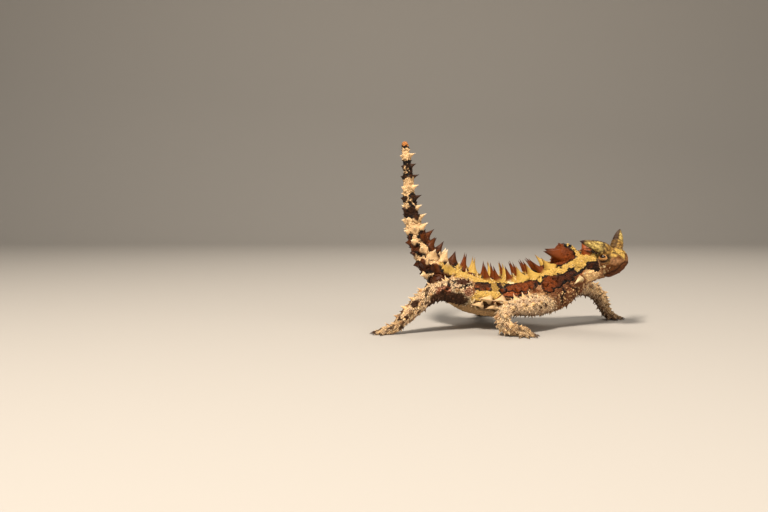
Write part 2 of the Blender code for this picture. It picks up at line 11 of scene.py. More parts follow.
import bmesh
import bpy
import numpy as np
from bpy.props import FloatProperty, FloatVectorProperty, PointerProperty
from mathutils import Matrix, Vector


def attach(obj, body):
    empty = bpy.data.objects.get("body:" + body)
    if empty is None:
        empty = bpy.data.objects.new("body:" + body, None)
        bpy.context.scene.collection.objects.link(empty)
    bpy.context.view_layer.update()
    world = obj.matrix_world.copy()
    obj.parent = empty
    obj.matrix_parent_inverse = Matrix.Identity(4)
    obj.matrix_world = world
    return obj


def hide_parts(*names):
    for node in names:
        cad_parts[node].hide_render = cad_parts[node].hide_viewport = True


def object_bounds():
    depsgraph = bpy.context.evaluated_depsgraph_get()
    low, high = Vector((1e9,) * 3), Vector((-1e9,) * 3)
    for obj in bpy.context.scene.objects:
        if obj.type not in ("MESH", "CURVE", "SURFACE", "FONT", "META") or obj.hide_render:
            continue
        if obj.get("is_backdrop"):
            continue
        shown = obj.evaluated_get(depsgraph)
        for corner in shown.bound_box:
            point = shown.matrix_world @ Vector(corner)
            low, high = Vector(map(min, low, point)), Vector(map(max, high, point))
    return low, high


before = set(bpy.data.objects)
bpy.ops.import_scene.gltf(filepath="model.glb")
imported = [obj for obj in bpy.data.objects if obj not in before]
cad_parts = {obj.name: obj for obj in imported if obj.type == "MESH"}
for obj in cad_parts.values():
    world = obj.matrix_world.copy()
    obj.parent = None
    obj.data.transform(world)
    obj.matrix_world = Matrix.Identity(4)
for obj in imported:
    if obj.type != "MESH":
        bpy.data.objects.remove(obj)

bl_info = {
    "name": "Thorny devil",
    "version": (1, 0, 0),
    "blender": (4, 5, 0),
    "location": "View3D > Sidebar > Devil",
    "description": "Builds the skin, scales, thorns, horns, eyes and claws of a thorny devil",
    "category": "Add Mesh",
}

CAD_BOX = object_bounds()
METRES_PER_MM = 0.001

# ---------------------------------------------------------------- shape of the solid model
MIDDLE_X = 3.26
MIDDLE_Y = 4.34
# Body axis from the tail tip forward: x, y, z, half width, height above, depth below.
BODY_STATIONS = (
    (-50.7, 0, 98.7, 1.1, 1.1, 1.1), (-50.6, 0, 97, 1.9, 1.9, 1.9),
    (-50.1, 0, 91.6, 2.2, 2.2, 2.2), (-49.3, 0, 84, 2.5, 2.5, 2.5), (-48.8, 0, 75, 2.9, 2.9, 2.9),
    (-48.1, 0, 66, 3.4, 3.4, 3.4), (-46.9, 0, 58, 4.1, 4, 4), (-44.9, 0, 50, 5, 4.7, 4.7),
    (-41, 0, 41, 6.2, 5.6, 5.7), (-35.5, 0, 33, 8, 7, 7.2), (-28.5, 0, 26, 11.2, 9, 9),
    (-20, 0, 20.6, 15.8, 10, 10.8), (-10, 0, 17.4, 19.6, 9.9, 11), (0, 0, 16.8, 20.5, 9.8, 11),
    (10, 0, 17.2, 19.2, 10.2, 11.2), (20, 0, 18.8, 16.4, 10.9, 12.2),
    (28, 0, 21.8, 13.6, 11.8, 13), (35, -0.5, 26.2, 11.2, 10.8, 11.4),
    (41, -1.8, 30.4, 9.6, 9.4, 9.6), (46, -3.2, 33.6, 8.6, 8.6, 9.4),
    (51, -4.8, 35.4, 7.4, 7.4, 9.4),
)
TAIL_BASE_CUT, TRUNK_CUT = 79.0, 147.5
# Thorn rows on the trunk: degrees, first and last s, number, length, root radius, lean.
TRUNK_ROWS = (
    (13, 83, 134, 8, 8.8, 1.7, 14), (30, 86, 141, 9, 9.2, 2.1, 18),
    (63, 84, 140, 8, 2.6, 1.4, 40), (91, 87.5, 133, 8, 6.4, 1.9, 60),
    (110, 84.5, 130, 8, 5.8, 1.8, 64),
)
# Rings of thorns round the tail.
WHORL_STEP = 5.6
WHORL_FIRST = 7.7
WHORL_SPINES = 6
WHORL_LENGTH = (1.2, 0.48)
WHORL_RADIUS = (0.6, 0.27)
WHORL_LONGEST = 6.4
WHORL_DORSAL = 0.42
WHORL_LEAN = 14.0
# Head pose, then its sections along its own axis: half width, height above, depth below.
HEAD_CENTRE = (57.2, -6.4, 35.9)
HEAD_YAW = 55.0
HEAD_PITCH = 4.0
HEAD_ROLL = 10.0
HEAD_SECTIONS = (
    (-8.8, 2.6, 2.8, 3), (-7.6, 5.4, 5, 6.2), (-5, 7.5, 6.7, 8.4), (-2, 8.5, 7.6, 9),
    (1, 8.6, 7.7, 8.2), (4, 7.8, 6.8, 6.8), (6.4, 6.3, 5.5, 5.1), (8.2, 4.3, 3.9, 3.6),
    (9.1, 2, 2.2, 2),
)
# Forward, outward and up from the head's centre; the horn also has a radius.  It is slim below,
# so that the eye under it is free.
EYE_PLACE = (1.5, 6.7, 3)
HORN_SHELL = (
    (1.9, 2.4, 4.6, 3.4), (1.5, 4.6, 6.4, 3.7), (0.8, 7.0, 8.4, 3.4), (-1.1, 10.8, 10.8, 2.5),
    (-3.1, 14.6, 12.9, 1.2), (-3.9, 16.4, 13.8, 0.2),
)
HORN_ROWS, HORN_COLUMNS = 34, 15  # plates along and round a horn
# Knob on the nape, along its axis.
HUMP_STATIONS = (
    (27.5, 0, 34.8, 2.6, 2.4, 2.4), (29, -0.1, 35.5, 5.2, 4.6, 4.6),
    (31.8, -0.3, 36.8, 7, 6.4, 6.4), (35.2, -0.6, 38.3, 7.4, 6.4, 6.4),
    (38.4, -1, 39.2, 5.8, 4.9, 4.9), (40.6, -1.3, 39.8, 3, 2.6, 2.6),
)
# Limbs from the root outwards; digits as heading and length.
ARM_RIGHT = (
    (25, -5, 14.6, 6.2, 6.2, 6.2), (18, -14.5, 13.8, 5.8, 5.8, 5.8),
    (10.8, -22.2, 13.6, 5.1, 5.1, 5.1), (4.9, -26.5, 13.6, 4.6, 4.4, 4.6),
    (0.4, -29.4, 12.6, 4.3, 3.6, 4), (-2.2, -30.9, 9.8, 4.1, 3, 4),
    (-2.3, -31.9, 6.8, 4, 2.9, 3.8), (-0.1, -32.5, 4.3, 4, 2.9, 3.4),
    (3.6, -33, 2.9, 4.1, 2.6, 2.9), (7.4, -33.5, 2.1, 4.3, 2, 2.4),
    (10.6, -34.1, 1.6, 3.1, 1.5, 2),
)
DIGITS_RIGHT_HAND = ((-8, 5), (-42, 5.2), (-78, 5), (-118, 4.4), (28, 4.4))
ARM_LEFT = (
    (28, 5, 19, 5.8, 5.8, 5.8), (37, 12.5, 20, 5.4, 5.4, 5.4), (47, 19, 19.2, 4.7, 4.7, 4.7),
    (54.5, 22.6, 17.4, 4.4, 4.4, 4.4), (59, 24.4, 14.2, 4.2, 4.2, 4.2),
    (61.6, 25.4, 10.2, 3.7, 3.7, 3.7), (63.8, 26.2, 6.2, 3.4, 3.2, 3.2),
    (65.6, 26.6, 3.4, 3.7, 2.6, 3), (68, 27, 2, 4.2, 2, 2.5), (70.4, 27.4, 1.6, 3.2, 1.5, 2),
)
DIGITS_LEFT_HAND = ((40, 5), (2, 5.4), (-36, 5.2), (-76, 5), (-120, 4.6))
LEG_RIGHT = (
    (-15, -4, 19.5, 7, 7, 7), (-21.5, -12.5, 20.2, 6.8, 6.8, 6.6),
    (-29.5, -18.2, 21, 5.8, 5.6, 5.6), (-36.5, -21, 20.4, 5, 4.8, 4.8),
    (-42.5, -22.6, 16.4, 4.6, 4.4, 4.4), (-48.4, -23.9, 10.8, 4, 3.8, 3.8),
    (-53, -24.8, 6.2, 3.5, 3.2, 3.2), (-56.8, -25.4, 3.2, 3.5, 3, 2.4),
    (-60.6, -26, 1.9, 3.9, 2.5, 2), (-63.8, -26.4, 1.6, 3, 2, 1.4),
)
DIGITS_RIGHT_FOOT = ((-176, 5.6), (-204, 5.4), (-148, 5.2), (-232, 4.8), (-116, 4.4))
LEG_LEFT = (
    (-14, 4, 19, 7, 7, 7), (-11.5, 14.5, 20, 6.6, 6.6, 6.6), (-6.5, 24, 19.4, 5.6, 5.6, 5.6),
    (-3.8, 30.6, 16.6, 4.8, 4.8, 4.8), (-4.8, 34.4, 12.8, 4.2, 4.2, 4.2),
    (-6.6, 36.8, 8.6, 3.6, 3.6, 3.6), (-7, 38.8, 5.2, 3.3, 3.2, 3.2),
    (-5.4, 40.8, 3, 3.5, 2.6, 2.8), (-2.4, 42.4, 2, 4, 2, 2.4), (0.6, 43.6, 1.6, 3, 1.4, 2),
)
DIGITS_LEFT_FOOT = ((14, 5.6), (-14, 5.2), (42, 5.2), (74, 4.8), (-46, 4.4))
# Thorn rows on a limb: degrees from its upper side, first and last share, number, length, radius.
LIMB_ROWS = (
    (0, 0.34, 0.8, 6, 3, 1.15), (75, 0.3, 0.82, 6, 2.6, 1.05), (-75, 0.42, 0.8, 5, 2.2, 0.95),
)
LIMB_THORN_LEAN = 18.0
# A toe: reach in millimetres plus a share of its length, height, radius.
DIGIT_PROFILE = (
    (0.8, 0, 1.5, 1.25), (1.5, 0.45, 1.35, 1.15), (1.5, 0.85, 0.75, 0.8), (3, 1, 0.25, 0.28),
)
PALM_BACK = 3.4
LIMB_CLEAR = 0.5
FLOOR_CLEAR = 1.2
# Single thorns: place, degrees, length, root radius, lean.
NECK_SPINES = ((161, 36, 5.2, 2.3, 12), (152.8, 106, 4.9, 1.6, 64))
HUMP_SPINES = ((0.34, 45, 8.6, 3.5, 50), (0.55, 24, 2.4, 1.2, 24))
HUMP_LEFT_SHARE = 0.66

# ---------------------------------------------------------------- markings and painted shade
# Line of the yellow stripe along each side of the back: length along the body, degrees from the
# midline; the skin swells along it.
STRIPE = (
    (60, 78), (66, 74), (74, 60), (79, 51), (84, 46), (92, 42), (102, 32), (108, 29), (114, 26),
    (120, 20), (126, 22), (132, 32), (140, 44), (146, 53), (151, 52), (156, 54), (163, 53),
)
# Pale bands on the dark back and tail: tone, then points of s, degrees and half width.
BODY_BANDS = (
    ("tail_cream", ((7.2, 0, 3.0), (7.2, 180, 3.2))),
    ("tail_cream", ((12.0, 88, 0.4), (15.4, 74, 0.4))),
    ("tail_cream", ((13.0, 128, 0.5), (17.4, 120, 0.3))),
    ("tail_cream", ((12.0, 180, 0.7), (17.0, 170, 0.5))),
    ("tail_cream", ((23.9, 0, 4.4), (23.9, 180, 4.6))),
    ("tail_cream", ((28.0, 108, 0.7), (32.0, 118, 0.6), (34.4, 130, 1.2))),
    ("tail_cream", ((34.0, 170, 1.3), (34.2, 112, 1.3))),
    ("tail_cream", ((31.0, 70, 0.4), (34.2, 58, 0.5), (35.5, 30, 0.5))),
    ("tail_cream", ((44.9, 0, 3.7), (44.4, 180, 4.2))),
    ("tail_cream", ((48, 108, 1.3), (52.6, 94, 1.2), (58, 81, 1.3), (64, 75, 1.9), (69, 66, 1.8))),
    ("tail_cream", ((60.5, 180, 1.2), (60, 138, 1.3), (63, 112, 1.6), (66, 88, 1.8))),
    ("tail_cream", ((66.2, 0, 1.9), (68.6, 28, 1.6), (68.4, 66, 1.5))),
    ("tail_cream", ((69.5, 180, 0.7), (70.5, 112, 0.7))),
    ("yellow", ((69, 65, 1.8), (74.4, 59, 1.6), (79.2, 51, 2.3), (84, 44, 2.6), (92, 40, 2.3))),
    ("yellow", ((92, 40, 2.3), (97, 35, 1.9), (102, 31, 2.4), (107.7, 30, 2.3), (111.5, 33, 2))),
    ("cream", ((111.5, 33, 2.0), (114.6, 39, 1.1))),
    ("yellow", ((79.6, 0, 2.3), (80.6, 30, 2.4), (81.5, 46, 2.0))),
    ("yellow", ((93.6, 0, 2.4), (94.2, 34, 2.2))),
    ("yellow", ((108, 30, 1.6), (112.5, 24, 3.4), (118, 19, 5.2), (126, 20, 5.0), (131, 30, 2.4))),
    ("yellow", (
        (131, 30, 2.0), (139.6, 44, 1.9), (145.8, 53, 1.9), (151.3, 51, 1.8), (157, 54, 2),
    )),
    ("yellow", ((157, 54, 2.0), (160.0, 51, 3.0), (164.5, 50, 2.4))),
    ("yellow", ((159.5, 56, 2.4), (157.5, 70, 1.9), (153.5, 73, 1.0))),
    ("yellow", ((131.2, 34, 2.4), (131, 46, 2.1), (130.6, 55, 1.2))),
    ("cream", ((141.0, 0, 1.2), (141.4, 26, 0.8))),
    ("yellow", ((158.4, 0, 1.1), (158.6, 50, 1.2))),
    ("ochre", ((104.0, 40, 1.4), (104.2, 62, 2.4))),
    ("ochre", ((108.6, 38, 0.6), (108.8, 60, 0.5))),
    ("yellow", ((94, 100, 1.4), (97.2, 86, 2.5), (101.5, 79, 2.8), (105, 74, 2.2))),
    ("cream", ((94.4, 98, 1.0), (91.0, 124, 0.6))),
    ("tail_cream", ((87.4, 56, 0.5), (89.6, 66, 0.5), (90.6, 74, 0.4))),
    ("tail_cream", ((79.5, 62, 1.1), (80.4, 86, 0.9), (82.0, 110, 0.9))),
)
# Lower limit of the dark, black-edged zone of the back.
ZONE = (
    (0, 200), (78, 200), (81, 104), (85, 93), (90, 94), (97, 92), (104, 86), (120, 86), (122.5, 68),
    (129.5, 62), (131.5, 92), (134, 97), (138, 89), (142, 91), (149, 97), (154, 90), (158, 94),
    (160.5, 106), (163, 116), (166, 118),
)
# Soft paints on the flank and belly: s, degrees, half length, half width, turn, softness, tone.
BODY_PAINTS = (
    (126, 80, 6, 5, 0, 1.5, "pink"),
    (127, 76, 2.2, 1.2, 30, 0.8, "rust"),
    (124, 88, 2.4, 0.9, -20, 0.8, "dark_rust"),
    # Painted shade low on the flank and along its fold.
    (95, 116, 17, 5, 0, 2.0, "umber"),
    (112, 97, 24, 0.9, 0, 0.8, "umber"),
    (94.5, 110, 5.4, 0.8, 60, 0.6, "cream"),
    (106.4, 97, 3.8, 3.4, 0, 0.8, "chest"),
    (152, 101, 3.5, 1.6, 0, 0.8, "pink"),
    (155, 95, 1.9, 1.4, 0, 0.7, "orange"),
    # Painted shade in the recess behind the jaw, on the neck.
    (162, 88, 2.6, 4.0, 0, 1.0, "ear"),
    (158, 120, 6, 4.0, 0, 1.2, "limb_cream"),
    # Painted shade in a groove of the skin.
    (137, 104, 1.0, 3.2, 30, 0.8, "ear"),
    (108, 180, 36, 14, 0, 4.0, "belly"),
    # Painted shade under the neck: the chest darkened.
    (143, 124, 12, 12, 0, 2.5, "chest"),
    (139.5, 114, 0.9, 6.0, 20, 0.8, "ear"),
    (146.5, 122, 0.8, 6.0, -10, 0.8, "umber"),
)
# The same inside the dark zone.
DARK_PAINTS = (
    (24, 90, 26, 60, 0, 2.0, "tail_dark"),
    (57, 90, 9, 60, 0, 3.0, "tail_rust"),
    (73, 90, 8, 60, 0, 3.0, "dark_rust"),
    (114.5, 76, 7.6, 2.4, 0, 0.8, "orange"),
    (92.5, 79, 5.6, 2.2, -30, 0.8, "orange"),
    (98.5, 48, 5.6, 2.6, -20, 0.8, "dark_rust"),
    (148, 80, 9.5, 5.0, 10, 1.5, "maroon"),
    (161.5, 14, 3.0, 5.0, 0, 1.0, "orange"),
    (166, 60, 3.4, 7.0, 0, 1.2, "olive"),
    # Painted shade in the recess behind the jaw.
    (162.5, 98, 3.4, 5.4, 0, 1.2, "ear"),
    (161.4, 84, 2.4, 2.2, 20, 1.0, "maroon"),
    (111.8, 43, 2.8, 1.3, 0, 0.6, "black"),
    (114.5, 67, 8.0, 0.6, 3, 0.5, "black"),
    (89.5, 71, 5.5, 0.5, -30, 0.5, "black"),
    (126.8, 58, 0.9, 3.4, 0, 0.6, "black"),
    (146, 37, 10, 1.5, 12, 0.8, "black"),
    (131.5, 20, 1.0, 5.0, 0, 0.6, "black"),
    (139.5, 14, 0.9, 6.0, 0, 0.6, "black"),
    (111.5, 6, 0.8, 3.0, 0, 0.6, "black"),
    (155.0, 74, 4.0, 1.0, 20, 0.6, "black"),
)
HUMP_PATCHES = ((7, 90, 9, 60, 0, "rust"),)
HUMP_HOLES = ((10.6, 0, 1.0, 2.6, 20), (13.6, 40, 1.5, 3.0, 0))
# On the head the angle is taken without its sign, so both sides carry the same paints.
HEAD_PAINTS = (
    (8, 25, 8, 8, 0, 3.0, "crown"),
    (2.2, 90, 4.2, 60, 0, 2.5, "olive"),
    (15.8, 8, 2.2, 2.4, 0, 0.8, "yellow"),
    (12.9, 28, 1.6, 1.0, 0, 0.7, "yellow"),
    (15.1, 46, 1.2, 0.9, 0, 0.6, "yellow"),
    # Painted highlight on the snout under the eye.
    (16.0, 84, 2.2, 1.6, 20, 1.6, "pink"),
    (10.4, 64, 3.7, 2.7, 0, 1.2, "olive"),
    (3.8, 58, 3.2, 4.0, 0, 1.2, "olive"),
    # Painted shade in the recess behind the jaw.
    (4.2, 98, 3.6, 3.4, 0, 1.4, "ear"),
    (11.6, 12, 1.5, 1.1, 0, 0.7, "pink"),
    (8.9, 101, 0.9, 0.6, 0, 0.3, "cream"),
    (11.0, 102, 0.6, 0.5, 0, 0.3, "cream"),
    (9.5, 128, 0.7, 0.6, 0, 0.3, "cream"),
    (4.2, 138, 0.9, 0.7, 0, 0.3, "cream"),
    (7.6, 116, 3.2, 1.8, 0, 1.4, "pink"),
)
# Dark lines on the head: tone, then points of s, degrees and half width.  The fold under the eye,
# the recesses behind the jaw and the line of the jaw are painted shade; the rest are dark markings.
HEAD_BANDS = (
    ("ear", ((5.0, 0, 0.7), (6.6, 24, 0.6), (7.7, 42, 0.55), (10.7, 49, 0.3), (13.8, 66, 0.25))),
    ("ear", ((8.4, 82, 0.3), (10.5, 84, 0.5), (12.6, 82, 0.2))),
    ("ear", ((8.8, 90, 0.7), (5.0, 92, 2.0), (1.5, 98, 2.6))),
    ("ear", ((5.6, 106, 0.9), (1.5, 114, 2.4))),
    ("ear", ((14.1, 34, 0.6), (15.6, 28, 0.3), (17.4, 31, 0.35))),
    ("ear", ((11.2, 6, 0.5), (13.6, 18, 0.35), (15.0, 22, 0.25))),
    ("ear", ((16.9, -6, 0.15), (17.0, 14, 0.3))),
    ("jaw_and_shade", ((9.0, 110, 0.3), (12.0, 112, 0.4), (14.0, 106, 0.2))),
)
CHEEK = (9.0, 112, 5.5, 3.4, 0)  # pale granules lie here
# Painted shade on the chin side below this line: places forward and up from the head's centre.
JAW_SHADE_LINE = ((-3, -5.4), (1.7, -4.4), (5.5, -2.7), (8.6, -1.2), (9.5, 0.4))
LIMB_PAINTS = {
    "arm_right": (
        (13, -100, 2.4, 0.7, 60, 0.5, "umber"),
        (17, -82, 2.4, 0.6, 60, 0.5, "umber"),
        (24, -128, 7, 1.2, 0, 1.4, "pink"),
    ),
    "leg_right": (
        (3, -132, 5.0, 3.4, 0, 0.8, "rust"),
        (13.5, -158, 5.4, 3.2, 0, 0.8, "dark_rust"),
        (10.5, -96, 4.6, 2.4, 0, 0.8, "orange"),
        (14, -122, 6.0, 0.5, 12, 0.5, "black"),
        (19.2, -150, 0.4, 3.4, 0, 0.4, "black"),
        (25, -104, 3.4, 3.0, 0, 0.8, "orange"),
        (25, -103, 7.0, 0.5, 40, 0.4, "black"),
        # Painted shade under the thigh.
        (22, -20, 14, 7, 0, 2.5, "umber"),
        (40, -140, 2.2, 1.6, 0, 0.8, "umber"),
        (47, -100, 1.8, 1.4, 0, 0.8, "umber"),
        (50, -150, 1.6, 1.3, 0, 0.8, "umber"),
    ),
}

# ---------------------------------------------------------------- relief of the skin
# On the head, both sides: s, degrees, half length, half width, turn, height.
HEAD_RELIEF = (
    (10.4, 50, 3.6, 1.0, 6, 0.55),
    (10.3, 64, 2.0, 1.5, 0, -1.1),
    (10.6, 84, 3.2, 0.6, -4, -0.45),
    (10.8, 93, 3.6, 1.3, -6, 0.35),
    (5.4, 101, 2.2, 1.5, -20, -0.9),
    (7.4, 116, 2.8, 2.2, 0, 0.45),
    (14.1, 34, 0.55, 0.5, 0, -0.6),
    (14.2, 26, 1.4, 0.8, 0, 0.3),
    (9.0, 0, 3.2, 2.6, 0, -0.9),
    (14.2, 0, 2.6, 1.2, 0, 0.35),
    (16.2, 28, 1.4, 0.3, 0, -0.25),
    (12.8, 70, 0.35, 2.6, 20, -0.2),
    (14.0, 78, 0.35, 2.6, 20, -0.16),
)
# On the neck and chest, both sides, in the same order.
BODY_RELIEF = (
    (159.5, 58, 4.0, 2.6, 0, 1.0),
    (153.0, 74, 4.0, 1.4, 0, -0.5),
    (142.8, 50, 2.4, 2.4, 0, 0.7),
    (104.2, 58, 2.4, 2.6, 0, 0.5),
    (120.5, 50, 6.5, 4.5, 0, 0.5),
    (114.5, 68, 8.0, 0.9, 3, -0.5),
    (99.0, 84, 5.0, 3.6, 0, 0.6),
    (137.0, 106, 1.0, 4.5, 30, -0.6),
)
# How high and how wide the skin swells under each big thorn, as shares of the thorn's radius.
MOUND_HEIGHT = 0.3
MOUND_SPREAD = 1.2
# Tones of the rows along the back, by degrees to the left: a letter a thorn, tail end first.
BACK_TONES = {-13: "ryrryrrr", -30: "yrrrryyry", 13: "ryryrrrr", 30: "yrrryrrry"}
TONE_LETTERS = {"r": "rust", "y": "yellow"}
# The cones low on the flank, behind the arm, are pale.
FLANK_ROWS, FLANK_END = 85.0, 112.0
NECK_TONES = ("orange", "cream")
KNOB_RADIUS = 3.0  # thicker thorns of the neck are full cones
KNOB_SWELL = 1.22  # and stand on a wider root in the middle of the knob
KNOB_MIDDLE, KNOB_ASIDE = 7.6, 1.8  # its place along the knob and to the side
KNOB_TAPER, KNOB_REAR = 1.7, (2.0, 9.0)  # its rear end is drawn in by this much, up to there
# A pale spike under each ear: s, degrees, length, radius, lean on the head.
CHIN_SPIKE = (4.3, 146, 1.9, 0.7, 10)
# Markings are read nearer to a thorn's root within this many of its radii.
GATHER_OUTER, GATHER_INNER = 1.35, 0.8
GATHERED = (("tail", 0.6), ("trunk", 1.0), ("neck", 1.0))  # less so on the tail
# The mouth line on the head, as places forward and up from its centre, and where it starts.
MOUTH_LINE = ((-2, -6.4), (2, -5.7), (5.5, -4.4), (7.5, -3.0), (8.8, -1.5), (9.5, -0.7))
MOUTH_START = -1.0

# Stains of noise: tone, share, wave length in mm, seed, and the noise between which they set in.
FLANK_MOTTLE = ("umber", 0.55, 3.0, 21, 0.2, 1.3)
BACK_MOTTLE = ("black", 0.5, 2.6, 22, 0.5, 1.5)
CHEST_FLECKS = ("limb_cream", 0.8, 2.0, 23, 0.7, 1.2)
FACE_MOTTLE = ("ear", 0.35, 1.6, 32, 0.4, 1.6)
CHEEK_FLECKS = ("cream", 0.7, 1.5, 34, 0.9, 1.3)
LIMB_MOTTLE = ("pink", 0.75, 3.2, 42, -0.5, 1.2)
LIMB_FLECKS = ("umber", 0.7, 2.1, 43, 0.6, 1.2)
ARM_BLOTCHES = ("umber", 0.35, 4.2, 41, 0.5, 1.1)
LEG_BLOTCHES = ("umber", 0.85, 4.2, 41, 0.5, 1.1)
# Where some of them begin: lengths s and degrees over which they come in.
CHEST_START, CHEST_SIDE, BLOTCH_START = (134, 138), (96, 104), (12, 22)
# Tones of the painted shade on the underside of a limb: share, and how far down they set in and are
# full.
UNDERSIDE_SHADE = (("pink", 0.8, 0.1, 0.8), ("umber", 0.6, 0.5, 1.0))
# Noise in the edges of all markings: height and wave length in mm; seeds along and across.
EDGE_NOISE, SEED_ALONG, SEED_ACROSS = ((0.45, 6.0), (0.25, 2.2)), 11, 13
BAND_SOFT = 0.3  # half the soft border of a pale band
TAIL_TIP, TIP_DARK = (2.2, 3.2), 2.4  # s where the tip's own tone ends, and where dark may start

# The black edge of a patch: half its soft border, where it ends and where the colour is full.
EDGE_SOFT, EDGE_INNER, EDGE_CORE = 0.08, 0.8, 1.3
NO_PATCH = -9.0  # the depth in a patch where there is none
# Where tubes meet: width of the change from one to the next, how much the neck counts before the
# knob, and the least share that counts at all.
BLEND, KNOB_BEHIND, LEAST_SHARE = 0.6, 0.3, 0.01
# The skin there is smoothed: between which shares of the main tube, how strongly and how often.
JOIN_LOW, JOIN_HIGH, JOIN_STRENGTH, JOIN_ROUNDS = 0.55, 0.97, 0.5, 24
ALL_STRENGTH, ALL_ROUNDS = 0.4, 2  # then all of it
# The lofts under the skin: spacing of rings, sides of body and head and of the rest; for a toe its
# share of the length, rings, sides, inset and how far its rounded end stands out.
RING_STEP, WIDE_SIDES, LIMB_SIDES = 0.8, 64, 40
TOE_SHARE, TOE_RINGS, TOE_SIDES, TOE_INSET, TOE_END = 0.86, 14, 20, 0.1, 0.4
# Faces of the head are cut in four this near to its tube and from this far along it.
REFINED_GAP, REFINED_FROM = 0.4, 0.5
FLOOR_RELIEF = (0.2, 1.2)  # heights between which the relief sets in over the floor
# Where the trunk starts and ends, height and width of the swelling along its stripe, and of the
# fold along its flank, which also has its place in degrees and an end of its own.
TRUNK_START, TRUNK_END, STRIPE_SWELL = (78, 90), (142, 152), (0.5, 2.6)
FLANK_FOLD, FOLD_END = (0.7, 95, 1.1), (130, 137)
# How light the skin is left by the painted shade between the scales, on limbs and elsewhere;
# hollows get more of it, lumps less.
LIMB_UNSHADED, BODY_UNSHADED, HOLLOW_SHADE, RELIEF_SHADE_RANGE = 0.3, 0.68, 0.5, (0.45, 1.15)
LUMP_FALL = 1.4  # how fast a lump or dent of the relief fades

# ---------------------------------------------------------------- coat
# Rings of one scale or thorn: share of its height, share of its radius; the tip comes after.
SCALE_PROFILE = ((-0.40, 1.04), (0.62, 0.80))
THORN_PROFILE = (
    (-0.08, 1.30), (0.02, 1.0), (0.10, 0.80), (0.22, 0.60), (0.38, 0.43), (0.58, 0.27),
    (0.80, 0.12),
)
# The yellow thorns along the back run together at their roots.
BACK_PROFILE = (
    (-0.06, 1.60), (0.04, 1.34), (0.12, 1.05), (0.23, 0.76), (0.38, 0.50), (0.58, 0.29),
    (0.80, 0.12),
)
KNOB_PROFILE = (
    (-0.1, 1.2), (0.1, 1.06), (0.25, 0.86), (0.42, 0.64), (0.6, 0.42), (0.8, 0.21), (0.92, 0.09),
)
THORN_SIDES, THORN_RIDGES, THORN_RIDGE = 16, 4, 0.09
SPIKE_PROFILE = ((-0.22, 1.05), (0.12, 0.84), (0.42, 0.46), (0.74, 0.20))
SPIKE_LEAN, SCALE_LEAN = 0.35, 0.25  # how far they lean back
SPIKE_STRETCH, SCALE_STRETCH, THORN_STRETCH, BACK_STRETCH = 1.15, 1.1, 1.2, 1.25
SPIKE_HOOK = 0.1  # how far a spike bends back
TUFT_SIDES = 6  # of a scale or spike
SCALE_WIDTHS, SCALE_HEIGHTS = (0.82, 1.0), (0.8, 1.2)  # shares of their full radius and height
SHORT_SPIKES = 1.5  # the higher this power, the more spikes are short
SPIKE_WIDTHS = (0.75, 0.35)  # a short spike's share of the radius, and what a long one adds
SPIKE_FREE, SPIKE_FLOOR = 3.0, 2.0  # from the end of a tube, and over the floor on limbs
# Bare of scales: the floor and what faces down, round the eyes, in the horns, in the mouth line.
SOLE_HEIGHT, SOLE_FACING, EYE_BARE, HORN_BARE, MOUTH_BARE = 0.35, -0.97, 2.5, -0.25, 0.5
SMALL_SCALE = 0.6  # radius of the small scales between the large ones, as a share
FOOT_LENGTH = 11.0  # end of a limb with foot scales
SPIKE_SPOTS = 2500  # places tried in one field of spikes
# No spike or scale stands within these many radii of a thorn, no scale so near to a spike.
THORN_TO_SPIKE, THORN_TO_SCALE, SPIKE_TO_SCALE = 1.15, 0.72, 0.6
THORN_DEPTH = 0.3  # how far a thorn goes into the skin
SHADE_SPREAD = 0.13  # how unlike in brightness scales and thorns are
LUMA = (0.3, 0.59, 0.11)
DARK_GROUND, PALE_GROUND = 0.07, 0.2  # brightness of a root with a black tip, and with a pale one
# Heights between which a thorn's own colour takes over from the skin's: most thorns, then those
# of a set tone other than rust.
OWN_COLOUR, SET_COLOUR = (0.02, 0.2), (-0.1, 0.06)
PATCH_ACROSS = 0.003  # of each tuft on the OFBake map
CAP_ASIDE, CAP_SIZE = 0.7, 0.2  # a tuft's hidden cap lies beside it, in patch widths, and is small
CHART_EDGE = 0.004
# Small spikes between the big thorns: region, lengths s, degrees from the top, spacing, length
# range, root radius.
SPIKE_FIELDS = (
    ("body", (4, 27), (0, 180), 2.2, (0.7, 1.2), 0.55),
    ("body", (27, 79), (0, 180), 2.7, (0.9, 1.7), 0.75),
    ("body", (79, 147), (0, 34), 2.6, (1.1, 2.8), 0.75),
    ("body", (79, 147), (34, 72), 4.4, (0.7, 1.1), 0.7),
    ("body", (79, 147), (72, 128), 3.2, (0.9, 2.0), 0.7),
    ("body", (79, 147), (128, 180), 3.6, (0.4, 0.7), 0.55),
    ("body", (147, 165), (0, 180), 2.6, (0.7, 1.4), 0.65),
    ("body", (132, 154), (112, 170), 2.8, (1.2, 2.6), 0.6),
    ("hump", (0, 20), (0, 180), 2.4, (0.7, 1.4), 0.65),
    ("head", (0, 8), (0, 150), 2.2, (0.5, 1.0), 0.5),
    ("arm_right", (0, 80), (0, 180), 2.0, (0.9, 2.5), 0.66),
    ("arm_left", (0, 80), (0, 180), 2.0, (0.9, 2.5), 0.66),
    ("leg_right", (0, 80), (0, 180), 2.0, (0.9, 2.5), 0.66),
    ("leg_left", (0, 80), (0, 180), 2.0, (0.9, 2.5), 0.66),
)
# Coat pieces: name, region, lengths s, slot.
COAT_PIECES = (
    ("tail", (("body", 0, 79),), "tail_skin"),
    ("trunk", (("body", 79, 112),), "body_skin"),
    ("shoulder", (("body", 112, 147.5),), "body_skin"),
    ("neck", (("body", 147.5, 170), ("hump", 0, 20)), "body_skin"),
    ("head", (("head", 0, 20),), "head_skin"),
    ("arms", (("arm_right", 0, 80), ("arm_left", 0, 80)), "limb_skin"),
    ("legs", (("leg_right", 0, 80), ("leg_left", 0, 80)), "limb_skin"),
)
